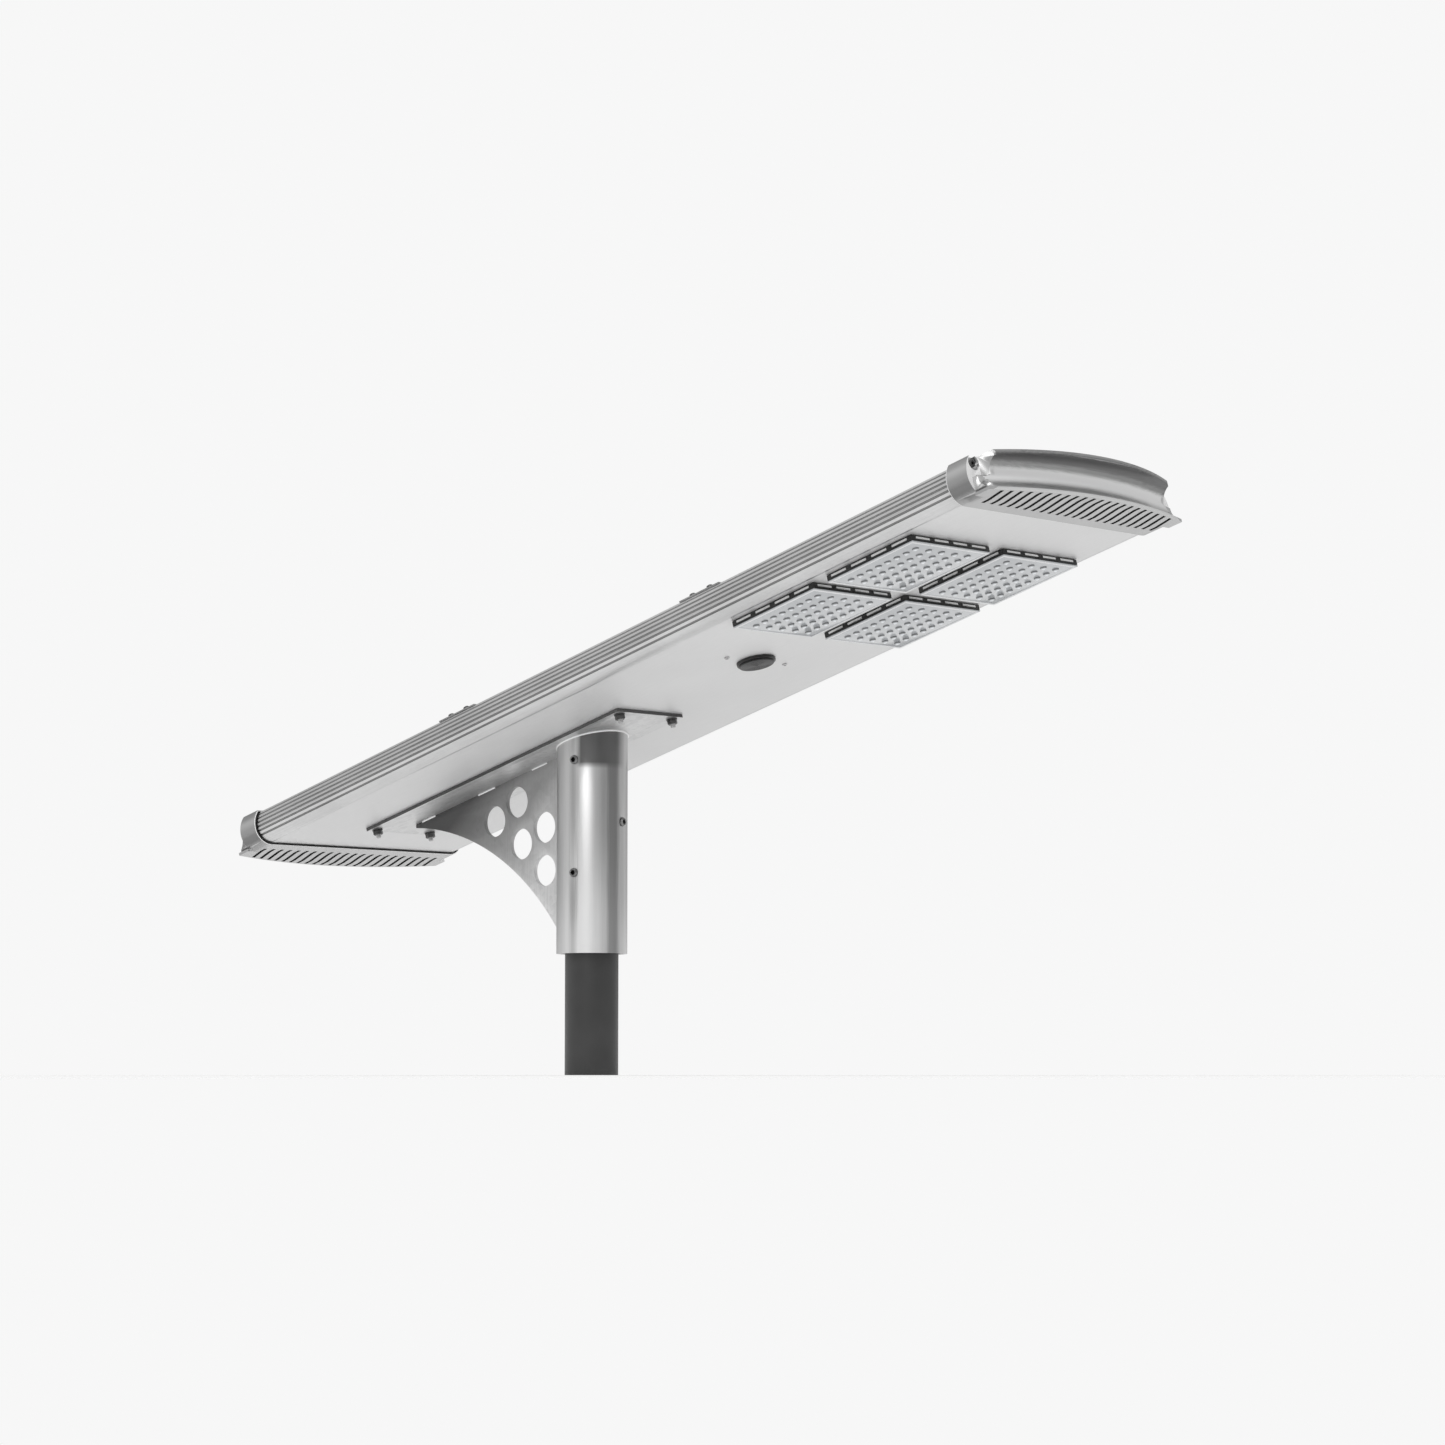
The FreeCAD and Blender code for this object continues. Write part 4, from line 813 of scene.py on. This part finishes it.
# %% [markdown]
# A soft lip closes the step between each cap's mouth and the rails, and the mouth's own edge has a
# fine bright bead, a painted highlight. Both follow the head's outline all round, so they are sweeps:
# the outline's points are worked out from its arcs, and a small square profile is drawn along them by
# a tree with its sizes as inputs.

# %% The lip tree
lip_tree, given = start_tree("seal_lip", [
    ("Width", "Float", 2.0), ("Height", "Float", 1.0), ("Finish", "Material", None)])
path = add(lip_tree, "GeometryNodeMeshToCurve", {"Mesh": given["Geometry"]})
profile = add(lip_tree, "GeometryNodeCurvePrimitiveQuadrilateral", {
    "Width": given["Width"], "Height": given["Height"]})
profile = add(lip_tree, "GeometryNodeFilletCurve", {"Curve": profile.outputs[0], "Radius": 0.3})
bead = add(lip_tree, "GeometryNodeCurveToMesh",
           {"Curve": path.outputs[0], "Profile Curve": profile.outputs[0]})
end_tree(lip_tree, bead.outputs[0], given["Finish"])


def outline_points(grow):
    """The head's outline (v, w), grown by a distance, walked once round."""
    side = []
    for k in range(17):
        angle = -math.pi / 2 + math.pi / 2 * k / 16
        side.append((FLAT_HALF + (SIDE_ROUND + grow) * math.cos(angle),
                     SIDE_ROUND + (SIDE_ROUND + grow) * math.sin(angle)))
    centre = FLAT_HALF + SIDE_ROUND - top_round
    last = math.asin(min(1, (rail_high.z - SIDE_ROUND) / top_round))
    for k in range(1, 9):
        angle = last * k / 8
        side.append((centre + (top_round + grow) * math.cos(angle),
                     SIDE_ROUND + (top_round + grow) * math.sin(angle)))
    return side + [(-v, w) for v, w in reversed(side)]


for name, mouth, way in (("front", head_span("end_cap_front")[0].x, -1),
                         ("rear", head_span("end_cap_rear")[1].x, 1)):
    # The bright bead on the mouth's edge is a painted highlight.
    for part, grow, wide, high, finish in (("seal_lip", 1.3, 3.0, 0.9, seal_rubber),
                                           ("mouth_bead", 2.45, 0.9, 1.0, land_face_and_painted_highlight)):
        loop = [(mouth + way * 0.4, v, w) for v, w in outline_points(grow)]
        line = bpy.data.meshes.new("path")
        line.from_pydata(loop, [(k, (k + 1) % len(loop)) for k in range(len(loop))], [])
        strip = grown(lip_tree, line, {"Width": wide, "Height": high, "Finish": finish})
        fit(f"{part}_{name}", strip, None)
    print("seal lip", name, "at", round(mouth, 1), "with", len(strip.polygons), "faces")

# %% [markdown]
# Each cap is held by four socket-head screws sunk in its corner lands. They face out of the end of
# the head: a quarter turn about the v axis points a screw's own axis along u.

# %% Cap screws
def socket_screw(head_radius, head_high, shank_radius, shank_long, socket_half, dome=0.3):
    """A screw whose head stands on zero and whose shank goes down: a domed head with a hexagon socket."""
    edge = min(0.5, head_high * 0.25)
    return turned([(0, -shank_long), (shank_radius * 0.7, -shank_long)] +
                  thread(shank_radius, -shank_long + 0.5, -0.6, 0.8, 0.25) +
                  [(shank_radius, -0.2), (head_radius - 0.25, 0), (head_radius, 0.3),
                   (head_radius, head_high - edge - dome), (head_radius - edge, head_high - dome),
                   (socket_half * 1.35, head_high), (socket_half, head_high - 0.15, "hex"),
                   (socket_half, head_high * 0.3, "hex"), (0, head_high * 0.2)])


for name, way in (("front", 1), ("rear", -1)):
    spots = []
    for low, high in solids_of("end_cap_screws_" + name):
        under_head = (high.x if way > 0 else low.x) - way * 3
        spots.append((Vector((under_head, (low.y + high.y) / 2, (low.z + high.z) / 2)),
                      (turns.uniform(0, 1), way * math.pi / 2, 0)))
    mesh = set_out(socket_screw(4, 3, 2, 24, 1.5), spots, dark_zinc)
    fit(f"cap_screws_{name}_finished", mesh, None, stands_for="end_cap_screws_" + name)
print("cap screws at v", sorted({round(spot[0].y, 1) for spot in spots}))

# %% [markdown]
# ## The panel on the back
# Backing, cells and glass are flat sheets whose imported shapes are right, so they only need their
# finishes. The four clamps are pressed strips with broken edges and two pan-head screws each.

# %% Panel and clamps
for name, finish in (("panel_backing", panel_backing), ("panel_cells", solar_cells),
                     ("panel_glass", panel_glass)):
    nodes[name].data.materials.clear()
    nodes[name].data.materials.append(finish)
finished_copy("panel_clamps", clamp_steel, 0.4)
spots = [(Vector(((a.x + b.x) / 2, (a.y + b.y) / 2, b.z - 3.2)), (0, 0, turns.uniform(0, 1)))
         for a, b in solids_of("panel_clamp_screws")]
shank = solids_of("panel_clamp_screws")[0]
mesh = set_out(socket_screw(4, 3.2, 2, shank[1].z - shank[0].z - 3.2, 1.5, 0.9), spots, dark_zinc)
fit("clamp_screws_finished", mesh, None, stands_for="panel_clamp_screws")
print(len(spots), "clamp screws")

# %% [markdown]
# ## The lamps
# Four lamp modules hang under the floor. Each has a black frame whose sides carry four bright bars,
# and a clear cover with forty small domes. The cover reaches to the frame's outer edge with a
# rounded rim; a bevelled slab is made in mesh code, and a tree sets the domes out in a grid.

# %% The dome tree
def slab(low, high, bevel, segments=3, inset=0.0):
    """A box between two corners with rounded edges, in millimetres."""
    mesh = bmesh.new()
    bmesh.ops.create_cube(mesh, size=1)
    for vert in mesh.verts:
        vert.co = Vector(low[k] + inset if vert.co[k] < 0 else high[k] - inset for k in range(3))
    bmesh.ops.bevel(mesh, geom=mesh.edges[:], offset=bevel, segments=segments, affect="EDGES", profile=0.5)
    return mesh


dome_tree, given = start_tree("lens_domes", [
    ("Dome", "Object", None), ("Pitch along", "Float", 13.0), ("Pitch across", "Float", 20.0),
    ("Domes along", "Int", 8), ("Domes across", "Int", 5), ("Centre", "Vector", (0, 0, 0)),
    ("Finish", "Material", None)])
spans = []
for pitch, count in (("Pitch along", "Domes along"), ("Pitch across", "Domes across")):
    gaps = add(dome_tree, "ShaderNodeMath", {0: given[count], 1: 1.0}, operation="SUBTRACT")
    spans.append(add(dome_tree, "ShaderNodeMath", {0: gaps.outputs[0], 1: given[pitch]},
                     operation="MULTIPLY"))
grid = add(dome_tree, "GeometryNodeMeshGrid", {
    "Size X": spans[0].outputs[0], "Size Y": spans[1].outputs[0],
    "Vertices X": given["Domes along"], "Vertices Y": given["Domes across"]})
moved = add(dome_tree, "GeometryNodeSetPosition", {"Geometry": grid.outputs[0], "Offset": given["Centre"]})
dome = add(dome_tree, "GeometryNodeObjectInfo", {"Object": given["Dome"], "As Instance": True})
domes = add(dome_tree, "GeometryNodeInstanceOnPoints", {"Points": moved.outputs[0],
                                                        "Instance": dome.outputs["Geometry"]})
both = add(dome_tree, "GeometryNodeJoinGeometry")
dome_tree.links.new(domes.outputs[0], both.inputs[0])
dome_tree.links.new(given["Geometry"], both.inputs[0])
end_tree(dome_tree, both.outputs[0], given["Finish"])

dome_shape = bpy.data.meshes.new("dome")
drawn = turned([(0, 0.4), (3.7, 0.4), (3.7, -0.02), (3.55, -0.6), (3.1, -1.3), (2.4, -1.9), (1.6, -2.3),
                (0.8, -2.5), (0, -2.55)], 16)
drawn.to_mesh(dome_shape)
drawn.free()
dome_holder = bpy.data.objects.new("dome", dome_shape)
scene.collection.objects.link(dome_holder)

# %% Covers, frames and bars
RIM_HIGH = 1.3


def bar_spots(low, high, level, inset=0.0):
    """Four bars on each of a frame's four sides, as places and turns."""
    spots = []
    for k in range(4):
        share = (k + 0.5) / 4
        u = low.x + 3 + (high.x - low.x - 6) * share
        v = low.y + 3 + (high.y - low.y - 6) * share
        spots += [(Vector((u, low.y + inset, level)), UP), (Vector((u, high.y - inset, level)), UP),
                  (Vector((low.x + inset, v, level)), (0, 0, math.pi / 2)),
                  (Vector((high.x - inset, v, level)), (0, 0, math.pi / 2))]
    return spots


for k in range(1, 5):
    low, high = head_span(f"lamp_frame_{k}")
    cover = bpy.data.meshes.new("cover")
    drawn = slab((low.x, low.y, low.z), (high.x, high.y, low.z + RIM_HIGH), 0.8)
    drawn.to_mesh(cover)
    drawn.free()
    middle = (low + high) / 2
    mesh = grown(dome_tree, cover, {
        "Dome": dome_holder, "Pitch along": 13.0, "Pitch across": 20.0, "Domes along": 8, "Domes across": 5,
        "Centre": (middle.x, middle.y, low.z), "Finish": lens_plastic})
    fit(f"lens_cover_{k}", mesh, None, stands_for=f"lens_plate_{k}")
    wall = slab((low.x, low.y, low.z + RIM_HIGH), (high.x, high.y, -0.02), 0.5, 2, 0.35)
    fit(f"lamp_frame_{k}_finished", wall, lamp_black, stands_for=f"lamp_frame_{k}")
    bar = slab((-10.5, -0.35, -1.15), (10.5, 0.35, 1.15), 0.2, 2)
    mesh = set_out(bar, bar_spots(low, high, -2.9, 0.35), lamp_bar_metal)
    fit(f"lamp_bars_{k}", mesh, None)
    strips = bmesh.new()
    for a, b in (((low.x + 0.9, low.y + 0.9), (high.x - 0.9, low.y + 3.9)),
                 ((low.x + 0.9, high.y - 3.9), (high.x - 0.9, high.y - 0.9)),
                 ((low.x + 0.9, low.y + 3.9), (low.x + 3.9, high.y - 3.9)),
                 ((high.x - 3.9, low.y + 3.9), (high.x - 0.9, high.y - 3.9))):
        strip = slab((*a, low.z - 0.35), (*b, low.z + 0.3), 0.12, 1)
        part = bpy.data.meshes.new("strip")
        strip.to_mesh(part)
        strip.free()
        strips.from_mesh(part)
        bpy.data.meshes.remove(part)
    fit(f"lens_rim_{k}", strips, rim_plastic)
bpy.data.objects.remove(dome_holder)
print("a lamp is", round(high.x - low.x, 1), "by", round(high.y - low.y, 1), "mm")

# %% [markdown]
# The motion sensor is a shallow black drum with a slightly crowned face that carries fine rings,
# held between two small screws. It is turned from rings like a screw, with more points because it
# is seen large.

# %% Sensor
base_low, base_high = head_span("sensor_base")
face_low, face_high = head_span("sensor_face")
middle = (base_low + base_high) / 2
base_radius, face_radius = (base_high.x - base_low.x) / 2, (face_high.x - face_low.x) / 2
drum = turned([(0, base_high.z), (base_radius, base_high.z), (base_radius, base_low.z + 0.9),
               (base_radius - 0.3, base_low.z + 0.3), (base_radius - 0.9, base_low.z), (0, base_low.z)], 72)
fit("sensor_base_finished", drum, sensor_black, stands_for="sensor_base",
    place=HEAD @ Matrix.Translation((middle.x, middle.y, 0)))
rings = [(0, face_high.z), (face_radius - 1, face_high.z), (face_radius, face_high.z - 0.4),
         (face_radius, face_low.z + 1.6), (face_radius - 0.5, face_low.z + 0.9),
         (face_radius - 1.4, face_low.z + 0.6)]
for k in range(9):
    edge = face_radius - 2.4 - k * 1.9
    rings += [(edge, face_low.z + 0.55 - 0.04 * k), (edge - 0.5, face_low.z + 0.72 - 0.04 * k),
              (edge - 1.0, face_low.z + 0.52 - 0.04 * k)]
rings.append((0, face_low.z + 0.1))
fit("sensor_face_finished", turned(rings, 72), sensor_black, stands_for="sensor_face",
    place=HEAD @ Matrix.Translation((middle.x, middle.y, 0)))
spots = [(Vector(((a.x + b.x) / 2, (a.y + b.y) / 2, a.z + 2)), DOWN) for a, b in solids_of("sensor_screws")]
mesh = set_out(socket_screw(2.8, 2, 1.5, 7, 1.0, 0.6), spots, bright_zinc)
fit("sensor_screws_finished", mesh, None, stands_for="sensor_screws")
print("sensor drum", round(2 * base_radius, 1), "mm across")

# %% [markdown]
# ## Inside the head
# The battery, its tray, the charge controller, the boards and the leads are closed in, but an open
# cap or a cut-away shows them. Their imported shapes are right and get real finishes, and the boards
# get their lamp chips, one behind each dome.

# %% Inner parts
INNER = {
    "battery_tray": sheet_aluminium, "battery_cells": cell_wrap, "battery_cover": sheet_aluminium,
    "charge_controller": controller_case, "panel_junction_box": black_plastic, "lead_grommet": seal_rubber,
    "battery_lead": lead_jacket, "panel_lead": lead_jacket, "lamp_lead": lead_jacket,
    "sensor_element": sensor_black, "lamp_board_1": board_white, "lamp_board_2": board_white,
    "lamp_board_3": board_white, "lamp_board_4": board_white,
}
for name, finish in INNER.items():
    nodes[name].data.materials.clear()
    nodes[name].data.materials.append(finish)
for k in range(1, 5):
    low, high = head_span(f"lamp_board_{k}")
    middle = (low + high) / 2
    spots = [(Vector((middle.x + (a - 3.5) * 13, middle.y + (b - 2) * 20, low.z - 0.35)), UP)
             for a in range(8) for b in range(5)]
    chip = slab((-1.7, -1.7, -0.35), (1.7, 1.7, 0.35), 0.12, 1)
    fit(f"lamp_chips_{k}", set_out(chip, spots, chip_yellow), None)
print(len(INNER), "inner parts finished")

# %% [markdown]
# ## Floor, light and camera
# The lamp stands on its cut pole, so the floor is at zero. A round floor whose rim fades away
# leaves no edge in any view: its material turns clear as the distance from the middle grows. A
# little glow of its own keeps it as pale as the room. It is part of the stage, not of the lamp.

# %% The floor
floor_mesh = bmesh.new()
bmesh.ops.create_circle(floor_mesh, cap_ends=True, segments=96, radius=3.2)
data = bpy.data.meshes.new("studio_floor")
floor_mesh.to_mesh(data)
floor_mesh.free()
floor = bpy.data.objects.new("studio_floor", data)
scene.collection.objects.link(floor)
floor.location.z = -0.0005
floor_finish, tree, shader = start_finish("pale_floor", 0.0, 0.9)
shader.inputs["Base Color"].default_value = grey(0.93)
shader.inputs["Specular IOR Level"].default_value = 0.1
shader.inputs["Emission Color"].default_value = (1, 1, 1, 1)
shader.inputs["Emission Strength"].default_value = 0.155
place = add(tree, "ShaderNodeTexCoord")
distance = add(tree, "ShaderNodeVectorMath", {0: place.outputs["Object"]},
               operation="LENGTH").outputs["Value"]
fade = add(tree, "ShaderNodeMapRange", {"Value": distance, "From Min": 1.2, "From Max": 3.1},
           interpolation_type="SMOOTHERSTEP")
clear = add(tree, "ShaderNodeBsdfTransparent")
mix = add(tree, "ShaderNodeMixShader",
          {"Fac": fade.outputs["Result"], 1: shader.outputs[0], 2: clear.outputs[0]})
tree.links.new(mix.outputs[0], tree.nodes["Material Output"].inputs["Surface"])
data.materials.append(floor_finish)

# %% [markdown]
# Metal shows what surrounds it, so the light is a studio painted on the sky: a pale room with
# brighter and dimmer upright bands that turn into soft streaks on the sleeve, and a bright ceiling.
# The camera itself sees one plain pale tone behind the lamp. A large soft sun gives the shapes a
# direction.

# %% Studio light
BACKGROUND = grey(0.968)
world = bpy.data.worlds.new("studio")
scene.world = world
world.use_nodes = True
tree = world.node_tree
tree.nodes.clear()
direction = add(tree, "ShaderNodeTexCoord").outputs["Generated"]
axes = add(tree, "ShaderNodeSeparateXYZ", {"Vector": direction})
heading = add(tree, "ShaderNodeMath", {0: axes.outputs["Y"], 1: axes.outputs["X"]}, operation="ARCTAN2")
heading = add(tree, "ShaderNodeMapRange",
              {"Value": heading.outputs[0], "From Min": -math.pi, "From Max": math.pi})
BANDS = [(-180, 0.62), (-160, 0.9), (-132, 0.95), (-108, 0.7), (-86, 0.7), (-74, 1.5), (-56, 1.5), (-42, 0.6),
         (-5, 0.5), (15, 0.8), (85, 0.9), (110, 0.6), (180, 0.62)]
bands = add(tree, "ShaderNodeValToRGB", {"Fac": heading.outputs["Result"]})
bands.color_ramp.interpolation = "EASE"
for k, (angle, level) in enumerate(BANDS):
    spot = (angle + 180) / 360
    stop = bands.color_ramp.elements[k] if k < 2 else bands.color_ramp.elements.new(spot)
    stop.position, stop.color = spot, (level, level, level, 1)
rise = add(tree, "ShaderNodeMapRange", {"Value": axes.outputs["Z"], "From Min": 0.35, "From Max": 0.8},
           interpolation_type="SMOOTHSTEP")
ceiling = add(tree, "ShaderNodeMix", {"Factor": rise.outputs["Result"]}, data_type="RGBA")
tree.links.new(bands.outputs["Color"], ceiling.inputs[6])
ceiling.inputs[7].default_value = (1.25, 1.25, 1.25, 1)
drop = add(tree, "ShaderNodeMapRange", {"Value": axes.outputs["Z"], "From Min": -0.04, "From Max": 0.02},
           interpolation_type="SMOOTHSTEP")
room = add(tree, "ShaderNodeMix", {"Factor": drop.outputs["Result"]}, data_type="RGBA")
room.inputs[6].default_value = (0.85, 0.85, 0.85, 1)
tree.links.new(ceiling.outputs[2], room.inputs[7])
seen = add(tree, "ShaderNodeLightPath").outputs["Is Camera Ray"]
lights = add(tree, "ShaderNodeBackground", {"Color": room.outputs[2], "Strength": 0.68})
plain = add(tree, "ShaderNodeBackground", {"Color": BACKGROUND, "Strength": 1.0})
sky = add(tree, "ShaderNodeMixShader", {"Fac": seen, 1: lights.outputs[0], 2: plain.outputs[0]})
tree.links.new(sky.outputs[0], add(tree, "ShaderNodeOutputWorld").inputs["Surface"])

sun = bpy.data.lights.new("soft_key", "SUN")
sun.energy, sun.angle = 0.8, math.radians(35)
key = bpy.data.objects.new("soft_key", sun)
scene.collection.objects.link(key)
key.rotation_euler = Vector((-0.25, 0.75, -0.6)).to_track_quat("-Z", "Y").to_euler()
print("light bands:", len(BANDS))

# %% [markdown]
# The camera stands low and looks slightly up, with a long lens, so the underside of the head and
# its front cap show together. The plain view transform keeps pale tones pale.

# %% Camera
camera_data = bpy.data.cameras.new("camera")
camera_data.lens, camera_data.sensor_width = 94.26, 36
camera_data.clip_start, camera_data.clip_end = 0.05, 60
camera = bpy.data.objects.new("camera", camera_data)
scene.collection.objects.link(camera)
camera.location = (3.0904, -2.9519, 0.0013)
camera.rotation_euler = (math.radians(90 + 5.307), 0, math.radians(44.337))
scene.camera = camera
scene.view_settings.view_transform = "Standard"
print("camera stands", round(Vector(camera.location).length, 2), "m away")
